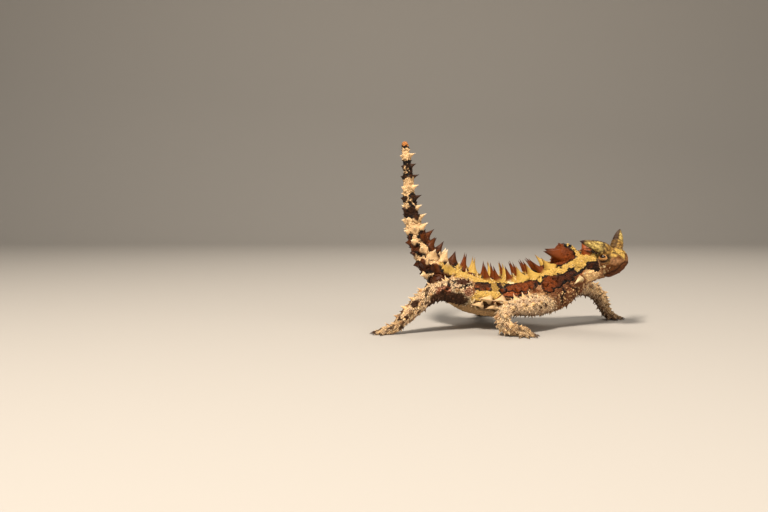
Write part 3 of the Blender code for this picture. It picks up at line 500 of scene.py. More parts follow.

# Tips of the tufts: share of their tone, height where it starts, lightness at the root under
# painted shade, tone.
SCALE_TIP = {"share": 0.1, "start": 0.3, "low": 0.6, "tone": "cream"}
LIMB_SCALE_TIP = {"share": 0.5, "start": 0.3, "low": 0.4, "tone": "white"}
SPIKE_TIP = {"share": 0.75, "start": 0.1, "low": 0.6, "tone": "white"}
DARK_THORN_TIP = {"share": 0.8, "start": 0.45, "low": 0.75, "tone": "thorn_tip"}
PALE_THORN_TIP = {"share": 0.8, "start": 0.45, "low": 0.75, "tone": "white"}

# ---------------------------------------------------------------- horns, eyes, claws, surface
HORN_RINGS, HORN_SEGMENTS = 150, 112
HORN_GIRTH, HORN_KEEL, HORN_NOTCH, HORN_GROOVE, HORN_PLATE = 0.80, 0.10, 0.07, 0.03, 0.05
HORN_NOTCHES, HORN_GROOVES, PLATE_SPREAD = 17, 9, 0.14  # the last: how unlike in brightness
EYE_RINGS, EYE_SEGMENTS, EYE_CAP = 40, 48, 0.02  # radians from the gaze to the first ring
PUPIL_EDGE, IRIS_EDGE = (13, 16), (30, 36)  # degrees from the gaze
# Section of an eyelid ring: share from its inner to its outer edge, height over the eyeball.
LID_SECTION = (
    (0.0, -0.25), (0.0, 0.10), (0.05, 0.24), (0.16, 0.34), (0.30, 0.36), (0.42, 0.26),
    (0.52, 0.30), (0.68, 0.26), (0.84, 0.02), (1.0, -0.55), (1.05, -1.1), (0.5, -1.0),
)
LID_SEGMENTS = 96
# Half width and half height of the opening, above and below its middle, and of the outer edge.
LID_OPENING, LID_OUTER = (1.5, 0.72, 0.85), (2.9, 2.05)
LID_NARROWING = 0.12  # of the opening towards the front
LID_ROUND, LID_SLOPE = 0.93, 0.55  # share of the eyeball's radius that the lids follow; then slope
LID_BEAD, LID_BEADS = 0.08, 17
CLAW_RINGS, CLAW_SEGMENTS, CLAW_START = 9, 12, 0.74
DRY_SHINE = 0.22  # dusty, dry skin reflects less than a clean surface
PATCH_GLOW = (0.8, 3.0, 0.6, 1.25)  # a patch lightens from its edge, mm deep, to its middle
SHADE_BETWEEN_SCALES = (0.10, 0.07, 0.05, 1.0)  # painted shade: multiplies the colour in the gaps
GRAIN_SPECKS = (0.3, 0.7, 0.82, 1.16)  # noise range, then how dark and light it makes the colour
GRAIN_HEIGHT = 0.0001  # metres

# ---------------------------------------------------------------- stage, in metres
FLOOR_FRONT, FLOOR_BACK, FLOOR_BEND, FLOOR_TOP, FLOOR_HALF = -1.6, 0.9, 0.5, 1.6, 2.4
CAMERA_PLACE = (-0.06506, -0.43034, 0.065)
CAMERA_DOWN = 3.65
CAMERA_LENS = 37.5
WORLD_STRENGTH = 0.24
LAMP_TINT = "#FFF4E6"
# Lamps: name, place, target, power in watts, width.
LAMPS = (
    ("key", (-0.30, -0.60, 0.82), (0.0, 0.0, 0.03), 15.8, 0.16),
    ("fill", (0.70, -0.60, 0.30), (0.0, 0.0, 0.04), 3.8, 0.70),
    ("top", (0.10, 0.50, 0.80), (0.0, 0.0, 0.05), 3.0, 0.50),
)


# ---------------------------------------------------------------- colours and properties


def linear(code):
    """Turns an sRGB hex code into linear RGBA."""
    parts = [int(code[i : i + 2], 16) / 255 for i in (1, 3, 5)]
    low = [c / 12.92 if c <= 0.04045 else ((c + 0.055) / 1.055) ** 2.4 for c in parts]
    return (*low, 1.0)


def tint(name, about, code):
    """A colour property that starts from an sRGB code."""
    settings = {"subtype": "COLOR", "size": 3, "min": 0.0, "max": 1.0}
    return FloatVectorProperty(
        name=name, description=about, default=linear(code)[:3], **settings
    )


def size(name, about, millimetres):
    """A length property; the value is in metres."""
    settings = {"subtype": "DISTANCE", "unit": "LENGTH", "min": 0.0, "precision": 5}
    start = millimetres * METRES_PER_MM
    return FloatProperty(name=name, description=about, default=start, **settings)


class DevilSizes(bpy.types.PropertyGroup):
    """Lengths of the skin and coat."""

    skin_mesh: size("Skin mesh", "Width of one face of the skin", 0.505)
    skin_inset: size("Skin inset", "How far the skin lies inside the solid model", 0.3)
    scale_radius: size("Scale radius", "Radius of the largest scales", 0.54)
    scale_height: size("Scale height", "Height of the largest scales", 0.24)
    head_scale: size("Head scale", "Radius of the scales on the face", 0.25)
    foot_scale: size("Foot scale", "Radius of the scales on hands and feet", 0.3)
    eye_radius: size("Eye radius", "Radius of an eyeball", 1.85)


class DevilColours(bpy.types.PropertyGroup):
    """Colours of the markings and of the painted shade, horns, eyes and claws."""

    yellow: tint("Yellow", "Stripe along the back, neck and brow", "#D0A954")
    ochre: tint("Ochre", "Brownish lobes under the stripe", "#A07C34")
    cream: tint("Cream", "Pale bars and thorn tips", "#EDD3A0")
    white: tint("White", "Tips of the spikes on tail and limbs", "#F3E3C4")
    thorn_tip: tint("Thorn tip", "Tips of the thorns on the back", "#5E3A34")
    tail_cream: tint("Tail cream", "Pale bands of the tail", "#E2BC8A")
    limb_cream: tint("Limb cream", "Arms and legs", "#EEC48A")
    pink: tint("Flank tan", "Pinkish flank", "#A07048")
    # The chest's brown, laid darker as painted shade where it lies under the neck.
    chest: tint("Chest", "Smooth brown chest", "#7C4A2A")
    belly: tint("Belly", "Pale underside", "#C9A272")
    umber: tint("Umber", "Shaded lower flank", "#4A2C16")
    rust: tint("Rust", "Patches of the trunk", "#74350A")
    dark_rust: tint("Dark rust", "Darker patches of the trunk", "#502608")
    orange: tint("Orange", "Orange-brown patches low on the flank", "#984A1A")
    maroon: tint("Maroon", "Patch across the shoulder", "#4C2208")
    black: tint("Black", "Edges of the patches", "#120A05")
    tail_dark: tint("Tail dark", "Dark bands of the tail", "#3A2110")
    tail_rust: tint("Tail rust", "Rust bands at the root of the tail", "#5A2C0A")
    tail_tip: tint("Tail tip", "Tip of the tail", "#C07A3C")
    muzzle: tint("Muzzle", "Face", "#70441F")
    crown: tint("Crown", "Top of the head", "#A27C3E")
    olive: tint("Olive", "Back of the head", "#463216")
    jaw_and_shade: tint("Jaw", "Lower jaw", "#6E3812")
    # Red-brown streaks of the muzzle; also painted shade under the jaw, along the jaw line and in
    # the lids' groove.
    lid: tint("Lid", "Eyelids", "#D8A060")
    # Painted shade in the folds and recesses of the head, neck and mouth; also the colour of dark
    # lines, mottles and the outer eyeball.
    ear: tint("Dark fold", "Folds and recesses of the head", "#24120A")
    horn_yellow: tint("Horn yellow", "Front of a horn", "#C8AC62")
    horn_brown: tint("Horn brown", "Bands and edges of a horn", "#42290F")
    horn_tip: tint("Horn tip", "Tip of a horn", "#2A1512")
    claw: tint("Claw", "Claws", "#3B2A1C")
    iris: tint("Iris", "Ring round the pupil", "#241206")


def devil_sizes():
    """The lengths, in millimetres, by name."""
    group = bpy.context.scene.devil_sizes
    return {k: getattr(group, k) / METRES_PER_MM for k in DevilSizes.__annotations__}


def devil_tones():
    """The colours as arrays, by name."""
    group = bpy.context.scene.devil_colours
    return {k: np.array(getattr(group, k)) for k in DevilColours.__annotations__}


# ---------------------------------------------------------------- tubes


def unit(vectors):
    """Scales each row to length one."""
    vectors = np.asarray(vectors, float)
    return vectors / np.maximum(np.linalg.norm(vectors, axis=-1, keepdims=True), 1e-9)


def smooth_rows(rows, per_step):
    """A Catmull-Rom curve through rows of numbers, with per_step samples between two rows."""
    rows = np.asarray(rows, float)
    ends = np.vstack([2 * rows[0] - rows[1], rows, 2 * rows[-1] - rows[-2]])
    t = np.arange(per_step)[:, None] / per_step
    spans = []
    for a, b, c, d in zip(ends, ends[1:], ends[2:], ends[3:]):
        line = 2 * b + (c - a) * t
        curve = (2 * a - 5 * b + 4 * c - d) * t**2 + (3 * b - a - 3 * c + d) * t**3
        spans.append(0.5 * (line + curve))
    return np.vstack([*spans, rows[-1:]])


class Tube:
    """Elliptic sections carried along a smooth axis, each square to it."""

    def __init__(self, stations, side=(0.0, 1.0, 0.0), per_step=12):
        rows = smooth_rows(stations, per_step)
        self.axis = rows[:, :3]
        self.half = rows[:, 3:]
        steps = np.linalg.norm(np.diff(self.axis, axis=0), axis=1)
        self.s = np.concatenate([[0.0], np.cumsum(steps)])
        self.length = self.s[-1]
        self.forward = unit(np.gradient(self.axis, axis=0))
        sides = []
        for forward in self.forward:
            side = unit(side - forward * np.dot(side, forward))
            sides.append(side)
        self.side = np.array(sides)
        self.up = np.cross(self.forward, self.side)

    def read(self, table, s):
        """A table of rows, read at lengths s along the axis."""
        return np.stack([np.interp(s, self.s, column) for column in table.T], axis=-1)

    def surface(self, s, degrees, grow=0.0):
        """Points at lengths s and angles from the top line towards the side direction."""
        s, angle = np.broadcast_arrays(np.asarray(s, float), np.radians(degrees))
        half = self.read(self.half, s) + grow
        over = np.where(np.cos(angle) > 0, half[..., 1], half[..., 2])
        across = self.read(self.side, s) * (half[..., 0] * np.sin(angle))[..., None]
        above = self.read(self.up, s) * (over * np.cos(angle))[..., None]
        return self.read(self.axis, s) + across + above

    def outward(self, s, degrees, step=0.4, turn=3.0):
        """The outward normal, from two short steps along the surface."""
        ahead = self.surface(s + step, degrees) - self.surface(s - step, degrees)
        round_ = self.surface(s, degrees + turn) - self.surface(s, degrees - turn)
        return unit(np.cross(ahead, round_))

    def grid(self, places, segments, grow=0.0):
        """Rings of surface points at the given places."""
        degrees = np.arange(segments) * 360.0 / segments
        return self.surface(np.asarray(places)[:, None], degrees[None, :], grow)

    def locate(self, points):
        """Length along the axis, angle, millimetres per degree there and gap to the surface."""
        square = (self.axis**2).sum(-1)
        near = np.argmin(square - 2 * points @ self.axis.T, axis=1)
        ahead = ((points - self.axis[near]) * self.forward[near]).sum(-1)
        free = self.s[near] + ahead
        s = np.clip(free, 0, self.length)
        offset = points - self.read(self.axis, s)
        across = (offset * self.read(self.side, s)).sum(-1)
        above = (offset * self.read(self.up, s)).sum(-1)
        half = self.read(self.half, s)
        over = np.where(above > 0, half[:, 1], half[:, 2])
        angle = np.arctan2(across / half[:, 0], above / over)
        reach = np.hypot(across / half[:, 0], above / over)
        gap = np.hypot(across, above) * (1 - 1 / np.maximum(reach, 0.05)) + abs(free - s)
        arc = np.hypot(half[:, 0] * np.cos(angle), over * np.sin(angle))
        return s, np.degrees(angle), np.radians(1) * arc, gap


def head_axes():
    """The head's forward, left and up directions."""
    yaw, pitch, roll = (math.radians(a) for a in (HEAD_YAW, HEAD_PITCH, HEAD_ROLL))
    level = math.cos(pitch)
    forward = np.array([math.cos(yaw) * level, -math.sin(yaw) * level, math.sin(pitch)])
    left = np.array([math.sin(yaw), math.cos(yaw), 0.0])
    left = left * math.cos(roll) + np.cross(forward, left) * math.sin(roll)
    return forward, left, np.cross(forward, left)


def head_point(ahead, outward, above):
    """A point given from the head's centre along its own axes."""
    forward, left, up = head_axes()
    return np.asarray(HEAD_CENTRE) + forward * ahead + left * outward + up * above


def eye_centre(side):
    """The middle of one eye; side is 1 for left and -1 for right."""
    ahead, outward, above = EYE_PLACE
    return head_point(ahead, side * outward, above)


def head_tube():
    """The head as a tube along its own axis."""
    stations = [(*head_point(a, 0.0, 0.0), w, h, d) for a, w, h, d in HEAD_SECTIONS]
    return Tube(stations, side=head_axes()[1])


def horn_tube(side):
    """The horn over one eye; side is 1 for left and -1 for right."""
    stations = [(*head_point(a, side * b, c), r, r, r) for a, b, c, r in HORN_SHELL]
    return Tube(stations, side=head_axes()[0])


TUBES = {
    "body": Tube(BODY_STATIONS),
    "hump": Tube(HUMP_STATIONS),
    "head": head_tube(),
    "arm_right": Tube(ARM_RIGHT),
    "arm_left": Tube(ARM_LEFT),
    "leg_right": Tube(LEG_RIGHT),
    "leg_left": Tube(LEG_LEFT),
}
REGIONS = tuple(TUBES)
LIMB_TOP = {"arm_right": 180.0, "leg_right": 180.0, "arm_left": 0.0, "leg_left": 0.0}
LIMB_DIGITS = {
    "arm_right": DIGITS_RIGHT_HAND,
    "arm_left": DIGITS_LEFT_HAND,
    "leg_right": DIGITS_RIGHT_FOOT,
    "leg_left": DIGITS_LEFT_FOOT,
}
LEFT_RIGHT = ((1, "left"), (-1, "right"))


def place(points):
    """Drawing millimetres to metres, with the origin under the animal's middle."""
    points = np.asarray(points, float) - (MIDDLE_X, MIDDLE_Y, 0.0)
    return points * METRES_PER_MM


def drawn(points):
    """Metres back to drawing millimetres."""
    return np.asarray(points, float) / METRES_PER_MM + (MIDDLE_X, MIDDLE_Y, 0.0)


def survey(points):
    """Where points lie on every tube, and how much each tube counts there."""
    seen = [TUBES[name].locate(points) for name in REGIONS]
    s, angle, arc, gap = (np.stack(column, axis=1) for column in zip(*seen))
    gap[:, REGIONS.index("hump")] += KNOB_BEHIND
    weight = np.exp(-(gap - gap.min(axis=1, keepdims=True)) / BLEND)
    weight /= weight.sum(axis=1, keepdims=True)
    return {"s": s, "angle": angle, "arc": arc, "weight": weight, "best": gap.argmin(axis=1)}


def regions_at(where):
    """Every tube's name, which points count to it, with what share, and their places on it."""
    for k, name in enumerate(REGIONS):
        share = where["weight"][:, k]
        near = share > LEAST_SHARE
        yield name, near, share[near], [where[key][near, k] for key in ("s", "angle", "arc")]


# ---------------------------------------------------------------- pattern arithmetic


def ramp(values, low, high):
    """A smooth step from 0 at low to 1 at high."""
    t = np.clip((values - low) / (high - low), 0, 1)
    return t * t * (3 - 2 * t)


def ripple(points, wave, seed, waves=7):
    """Smooth noise: sine waves of about one length (mm), added over random directions."""
    rng = np.random.default_rng(seed)
    ways = unit(rng.normal(size=(waves, 3))) * rng.uniform(0.7, 1.4, (waves, 1))
    turns = points @ (ways * 2 * math.pi / wave).T + rng.uniform(0, 2 * math.pi, waves)
    return np.sin(turns).sum(-1) / math.sqrt(waves / 2)


def stained(ground, points, stain, tones, where=1.0):
    """Lays a tone over the ground in spots of noise, as much as it counts in each place."""
    tone, share, wave, seed, low, high = stain
    return mix(ground, tones[tone], share * (ramp(ripple(points, wave, seed), low, high) * where))


def follow(line, places):
    """The second column of a table, read at places along its first column."""
    return np.interp(places, *np.array(line, float).T)


def depth_in(s, angle, arc, row, power=2.4):
    """How deep (mm) places lie inside one turned superellipse; negative outside it."""
    at, degrees, half_s, half_a, turn = row[:5]
    along, across = s - at, (angle - degrees) * arc
    c, q = math.cos(math.radians(turn)), math.sin(math.radians(turn))
    first = abs(along * c + across * q) / half_s
    second = abs(across * c - along * q) / half_a
    return (1 - (first**power + second**power) ** (1 / power)) * min(half_s, half_a)


def mix(below, above, share):
    """Colours below and above, mixed by a share per row."""
    return below + (above - below) * np.asarray(share)[..., None]


def seen(ground, depth, colour, black):
    """The colour that shows: the ground, the black edge of a patch, or the patch's own."""
    inside = mix(black + 0 * colour, colour, ramp(depth, EDGE_INNER, EDGE_CORE))
    return mix(ground, inside, ramp(depth, -EDGE_SOFT, EDGE_SOFT))


def painted(ground, spot, rows, tones):
    """Lays soft paints over the ground colour."""
    for row in rows:
        share = ramp(depth_in(*spot, row), -row[5] / 2, row[5] / 2)
        ground = mix(ground, tones[row[6]], share)
    return ground


def patched(spot, rows, holes, tones):
    """Depth inside the black-edged patches and the colour of the deepest."""
    depth = np.full(len(spot[0]), NO_PATCH)
    colour = np.zeros((len(depth), 3)) + tones["rust"]
    for row in rows:
        here = depth_in(*spot, row)
        colour = np.where((here > depth)[:, None], tones[row[5]], colour)
        depth = np.maximum(depth, here)
    for row in holes:
        depth = np.minimum(depth, -depth_in(*spot, row))
    return depth, colour


def banded(spot, bands, tones):
    """Depth (mm) inside bands drawn as lines of uneven width, and the tone of the deepest."""
    s, angle, arc = spot
    depth = np.full(len(s), NO_PATCH)
    colour = np.zeros((len(s), 3))
    for tone, points in bands:
        for (s0, a0, half0), (s1, a1, half1) in zip(points, points[1:]):
            step = np.stack([s1 - s0 + 0 * s, (a1 - a0) * arc], -1)
            offset = np.stack([s - s0, (angle - a0) * arc], -1)
            t = np.clip((offset * step).sum(-1) / (step * step).sum(-1), 0, 1)
            away = np.linalg.norm(offset - step * t[:, None], axis=1)
            here = half0 + (half1 - half0) * t - away
            colour = np.where((here > depth)[:, None], tones[tone], colour)
            depth = np.maximum(depth, here)
    return depth, colour


def gathered(points):
    """Points drawn towards the root of a near thorn, so that a marking takes in whole thorns."""
    points = points.copy()
    thorns = all_thorns()
    for name, reach in GATHERED:
        for root, _, radius, _, own in zip(*thorns[name]):
            if name == "trunk" and own == "rust":
                continue
            away = np.linalg.norm(points - root, axis=1) / (radius * reach)
            near = away < GATHER_OUTER
            share = ramp(-away[near], -GATHER_OUTER, -GATHER_INNER)
            points[near] += (root - points[near]) * share[:, None]
    return points


def wobbled(points, s, angle, arc):
    """A place shifted by noise, so that every edge runs unevenly."""
    shift, turn = (
        sum(high * ripple(points, wave, seed + k) for k, (high, wave) in enumerate(EDGE_NOISE))
        for seed in (SEED_ALONG, SEED_ACROSS)
    )
    return s + shift, angle + turn / np.maximum(arc, 0.05), arc


def unpatched(ground, tones):
    """Markings without any black-edged patch."""
    return ground, np.full(len(ground), NO_PATCH), tones["rust"] + 0 * ground


def body_colours(points, s, angle, arc, tones):
    """Markings of the tail, trunk and neck: pale bands on the dark back, a mottled tan flank
    darkened below by painted shade.
    """
    left = ramp(angle, -4, 4)
    later = s + left * (2.2 * np.sin(s / 8.0) + 1.4) * ramp(s, 82, 92)
    spot = wobbled(points, later, abs(angle), arc)
    s, a, arc = spot
    pale, tone = banded(spot, BODY_BANDS, tones)
    ground = stained(tones["pink"] + 0 * points, points, FLANK_MOTTLE, tones)
    ground = painted(ground, spot, BODY_PAINTS, tones)
    chest = ramp(s, *CHEST_START) * ramp(a, *CHEST_SIDE)
    ground = stained(ground, points, CHEST_FLECKS, tones, chest)
    ground = mix(ground, tone, ramp(pale, -BAND_SOFT, BAND_SOFT))
    ground = mix(ground, tones["tail_tip"], ramp(-s, -TAIL_TIP[1], -TAIL_TIP[0]))
    dark = painted(tones["rust"] + 0 * points, spot, DARK_PAINTS, tones)
    dark = stained(dark, points, BACK_MOTTLE, tones)
    zone = (follow(ZONE, s) - a) * arc
    return ground, np.minimum(np.minimum(-pale, zone), (s - TIP_DARK) * 2), dark


def hump_colours(points, s, angle, arc, tones):
    """Markings of the nape knob."""
    spot = wobbled(points, s, abs(angle), arc)
    return tones["yellow"] + 0 * points, *patched(spot, HUMP_PATCHES, HUMP_HOLES, tones)


def head_colours(points, s, angle, arc, tones):
    """Markings of the head: muzzle streaks, dark lines, painted shade on the jaw and mouth line."""
    spot = (s + 0.2 * ripple(points, 2.4, 33), abs(angle), arc)
    ground = tones["muzzle"] + 0 * points
    streak = ramp(np.sin(angle * 0.42 + 1.3 * ripple(points, 5, 31)), 0.2, 1)
    ground = mix(ground, tones["jaw_and_shade"], 0.35 * streak * ramp(s, 9, 12))
    ground = painted(ground, spot, HEAD_PAINTS, tones)
    ahead, _, above = head_local(points).T
    # Painted shade under the muzzle: the chin side darker below the line of the jaw.
    low = follow(JAW_SHADE_LINE, ahead) - above
    ground = mix(ground, tones["jaw_and_shade"], 0.7 * ramp(low, -0.4, 2.4) * ramp(ahead, -4, -1))
    ground = stained(ground, points, FACE_MOTTLE, tones)
    cheek = ramp(depth_in(*spot, CHEEK), 0.0, 1.5)
    ground = stained(ground, points, CHEEK_FLECKS, tones, cheek)
    # Dark lines: painted shade in the folds and recesses, dark markings elsewhere.
    lines, tone = banded(spot, HEAD_BANDS, tones)
    ground = mix(ground, tone, 0.85 * ramp(lines, -0.25, 0.2))
    # Painted shade along the mouth line.
    return unpatched(mix(ground, tones["ear"], 0.75 * mouth_share(points, 0.3)), tones)


def limb_colours(points, s, angle, arc, tones, name):
    """Markings of one limb: cream, browner below as painted shade, with dark blotches."""
    spot = wobbled(points, s, angle, arc)
    lower = -np.cos(np.radians(angle - LIMB_TOP[name]))
    ground = stained(tones["limb_cream"] + 0 * points, points, LIMB_MOTTLE, tones)
    ground = stained(ground, points, LIMB_FLECKS, tones)
    # Painted shade: the underside darker and browner.
    for tone, share, low, high in UNDERSIDE_SHADE:
        ground = mix(ground, tones[tone], share * ramp(lower, low, high))
    blotches = ARM_BLOTCHES if "arm" in name else LEG_BLOTCHES
    ground = stained(ground, points, blotches, tones, ramp(s, *BLOTCH_START))
    return unpatched(painted(ground, spot, LIMB_PAINTS.get(name, ()), tones), tones)


def markings(points, tones):
    """Ground colour, depth in patches and patch colour, mixed over the tubes near each point."""
    points = gathered(points)
    totals = [np.zeros((len(points), 3)), np.zeros(len(points)), np.zeros((len(points), 3))]
    for name, near, share, spot in regions_at(survey(points)):
        if name in LIMB_TOP:
            found = limb_colours(points[near], *spot, tones, name)
        else:
            paint = {"body": body_colours, "hump": hump_colours, "head": head_colours}[name]
            found = paint(points[near], *spot, tones)
        for total, part in zip(totals, found):
            total[near] += part * (share if part.ndim == 1 else share[:, None])
    return totals


# ---------------------------------------------------------------- meshes


def linked(name, data):
    """An object for some data, in the scene."""
    piece = bpy.data.objects.new(name, data)
    bpy.context.scene.collection.objects.link(piece)
    return piece


def plain_layers(colour, unshaded):
    """The attributes of a piece without black-edged patches."""
    flat = np.full(len(colour), NO_PATCH)
    return {"ground": colour, "patch_colour": colour, "patch": flat, "unshaded": unshaded}


def mesh_object(name, points, loops, starts, attributes, uv=None):
    """A smooth-shaded object from millimetre points, face corners and where each face starts."""
    mesh = bpy.data.meshes.new(name)
    mesh.vertices.add(len(points))
    mesh.vertices.foreach_set("co", place(points).astype(np.float32).ravel())
    mesh.loops.add(len(loops))
    mesh.loops.foreach_set("vertex_index", loops.astype(np.int32))
    mesh.polygons.add(len(starts))
    mesh.polygons.foreach_set("loop_start", starts.astype(np.int32))
    mesh.update(calc_edges=True)
    if uv is not None:
        layer = mesh.uv_layers.new(name="OFBake")
        layer.data.foreach_set("uv", uv.astype(np.float32).ravel())
    write_attributes(mesh, attributes)
    mesh.shade_smooth()
    return linked(name, mesh)


def write_attributes(mesh, attributes):
    """Stores numbers and colours on the vertices of a mesh."""
    for name, values in attributes.items():
        if values.ndim == 1:
            layer = mesh.attributes.new(name, "FLOAT", "POINT")
            layer.data.foreach_set("value", values.astype(np.float32))
        else:
            layer = mesh.attributes.new(name, "FLOAT_COLOR", "POINT")
            full = np.concatenate([values, np.ones((len(values), 1))], axis=1)
            layer.data.foreach_set("color", full.astype(np.float32).ravel())


def shell(rings, segments, closed=False):
    """Face corners and starts of rings of points; closed joins the last ring to the first.

    An open shell has one more point at each end, after the rings, for the two end fans.
    """
    k = np.arange(segments)
    after = (k + 1) % segments
    ring = np.arange(rings if closed else rings - 1)[:, None] * segments
    ahead = (ring + segments) % (rings * segments)
    quads = np.stack([ring + k, ahead + k, ahead + after, ring + after], -1).reshape(-1, 4)
    if closed:
        return quads.ravel(), np.arange(len(quads)) * 4
    first, last = rings * segments, (rings - 1) * segments
    start = np.stack([0 * k + first, k, after], -1)
    end = np.stack([0 * k + first + 1, last + after, last + k], -1)
    fans = np.concatenate([start, end])
    starts = np.concatenate([np.arange(len(quads)) * 4, quads.size + np.arange(len(fans)) * 3])
    return np.concatenate([quads.ravel(), fans.ravel()]), starts


def capped(grid, first=None, last=None):
    """The points of a shell with an end point added at each end, the ring's middle if not given."""
    first = grid[0].mean(0) if first is None else first
    last = grid[-1].mean(0) if last is None else last
    return np.concatenate([grid.reshape(-1, 3), [first, last]])


def joined(parts):
    """Several (points, loops, starts) as one."""
    points, loops, starts = [], [], []
    base = corner = 0
    for part in parts:
        points.append(part[0])
        loops.append(part[1] + base)
        starts.append(part[2] + corner)
        base += len(part[0])
        corner += len(part[1])
    return np.concatenate(points), np.concatenate(loops), np.concatenate(starts)


def numbers(items, name, each, kind=np.int32):
    """One property of all items of a mesh, a row for each."""
    out = np.zeros(len(items) * each, kind)
    items.foreach_get(name, out)
    return out.reshape(-1, each)


def normals_of(mesh):
    """The vertex normals of a mesh."""
    return numbers(mesh.vertex_normals, "vector", 3, np.float32).astype(float)


def points_of(mesh):
    """The vertices of a mesh, in drawing millimetres."""
    return drawn(numbers(mesh.vertices, "co", 3, np.float32))


def edges_of(mesh):
    """The two ends of each edge."""
    return numbers(mesh.edges, "vertices", 2)


def diagonals_of(mesh):
    """Opposite corners of every face with four sides."""
    start = numbers(mesh.polygons, "loop_start", 1).ravel()
    corners = numbers(mesh.loops, "vertex_index", 1).ravel()
    four = start[np.diff(np.append(start, len(corners))) == 4]
    pairs = [np.stack([corners[four + k], corners[four + k + 2]], -1) for k in (0, 1)]
    return np.concatenate(pairs)


def smoothed(points, edges, share, rounds):
    """Points moved towards the mean of their neighbours, each by its own share, many times."""
    first, last = np.concatenate([edges, edges[:, ::-1]]).T
    count = np.bincount(first, minlength=len(points))[:, None]
    for _ in range(rounds):
        around = [np.bincount(first, points[last, k], len(points)) for k in range(3)]
        points = points + (np.stack(around, -1) / count - points) * share[:, None]
    return points


# ---------------------------------------------------------------- big thorns, by rule


def thorn(tube, s, degrees, length, radius, lean, aft=-1.0, tone=""):
    """Root, tip, radius, direction along the tube and a set tone."""
    root = tube.surface(s, degrees)
    along = tube.read(tube.forward, s) * aft
    tilt = math.radians(lean)
    way = unit(tube.outward(s, degrees) * math.cos(tilt) + along * math.sin(tilt))
    return root, root + way * length, radius, along, tone


def tail_thorns():
    """Rings of thorns round the tail, turned by half a step from ring to ring."""
    tube = TUBES["body"]
    for ring in range(int((TAIL_BASE_CUT - WHORL_FIRST) / WHORL_STEP) + 1):
        s = WHORL_FIRST + ring * WHORL_STEP
        girth = float(np.interp(s, tube.s, tube.half[:, 0]))
        for k in range(WHORL_SPINES):
            degrees = (k + 0.5 * (ring % 2)) * 360.0 / WHORL_SPINES
            swell = 1.0 + WHORL_DORSAL * math.cos(math.radians(degrees))
            length = min(WHORL_LONGEST, (WHORL_LENGTH[0] + WHORL_LENGTH[1] * girth) * swell)
            radius = WHORL_RADIUS[0] + WHORL_RADIUS[1] * girth
            yield thorn(tube, s, degrees, length, radius, WHORL_LEAN)


def is_clear(one):
    """Whether a trunk thorn stays clear of every limb along its whole length."""
    root, tip, radius = one[:3]
    for share in (0.0, 0.5, 1.0):
        point = root + (tip - root) * share
        for name in LIMB_TOP:
            limb = TUBES[name]
            gap = np.linalg.norm(limb.axis - point, axis=1) - limb.half.max(axis=1)
            if gap.min() < radius * (1.0 - share) + LIMB_CLEAR:
                return False
    return True


def trunk_thorns():
    """The rows of thorns along both sides of the trunk."""
    for degrees, first, last, count, length, radius, lean in TRUNK_ROWS:
        for k, s in enumerate(np.linspace(first, last, count)):
            for side in (1, -1):
                tone = "tail_cream" if degrees > FLANK_ROWS and s < FLANK_END else ""
                letters = BACK_TONES.get(side * degrees)
                tone = TONE_LETTERS[letters[k]] if letters else tone
                one = thorn(TUBES["body"], s, side * degrees, length, radius, lean, tone=tone)
                if is_clear(one):
                    yield one


def neck_thorns():
    """Single thorns of the neck and the nape knob."""
    for side in (1, -1):
        for (s, degrees, *size_), tone in zip(NECK_SPINES, NECK_TONES):
            yield thorn(TUBES["body"], s, side * degrees, *size_, tone=tone)
        for share, degrees, length, *size_ in HUMP_SPINES:
            tube = TUBES["hump"]
            length *= HUMP_LEFT_SHARE if side > 0 else 1.0
            yield thorn(tube, share * tube.length, side * degrees, length, *size_, tone="rust")


def chin_thorns():
    """The pale spike under each ear."""
    s, degrees, *size_ = CHIN_SPIKE
    for side in (1, -1):
        yield thorn(TUBES["head"], s, side * degrees, *size_, tone="cream")


def limb_thorns(name):
    """The thorn rows of one limb."""
    tube = TUBES[name]
    for degrees, start, end, count, length, radius in LIMB_ROWS:
        for share in np.linspace(start, end, count):
            spot = (share * tube.length, LIMB_TOP[name] + degrees)
            one = thorn(tube, *spot, length, radius, LIMB_THORN_LEAN, 1.0)
            if one[1][2] > FLOOR_CLEAR:
                yield one


def all_thorns():
    """Every big thorn by coat piece, as columns root, tip, radius, along and tone."""
    rows = {
        "tail": list(tail_thorns()),
        "trunk": list(trunk_thorns()),
        "neck": list(neck_thorns()),
        "head": list(chin_thorns()),
        "arms": [*limb_thorns("arm_right"), *limb_thorns("arm_left")],
        "legs": [*limb_thorns("leg_right"), *limb_thorns("leg_left")],
    }
    return {name: [np.array(column) for column in zip(*part)] for name, part in rows.items()}


# ---------------------------------------------------------------- skin


def digit_tube(name, heading, length):
    """The tube of one toe, from the palm out and down to the floor."""
    tube = TUBES[name]
    palm = tube.read(tube.axis, tube.length - PALM_BACK) * (1, 1, 0)
    turn = math.radians(heading)
    out = np.array([math.cos(turn), math.sin(turn), 0.0])
    stations = []
    for reach, share, height, radius in DIGIT_PROFILE:
        point = palm + out * (reach + share * length) + (0.0, 0.0, height)
        stations.append((*point, radius, radius, radius))
    return Tube(stations, side=(-out[1], out[0], 0.0))


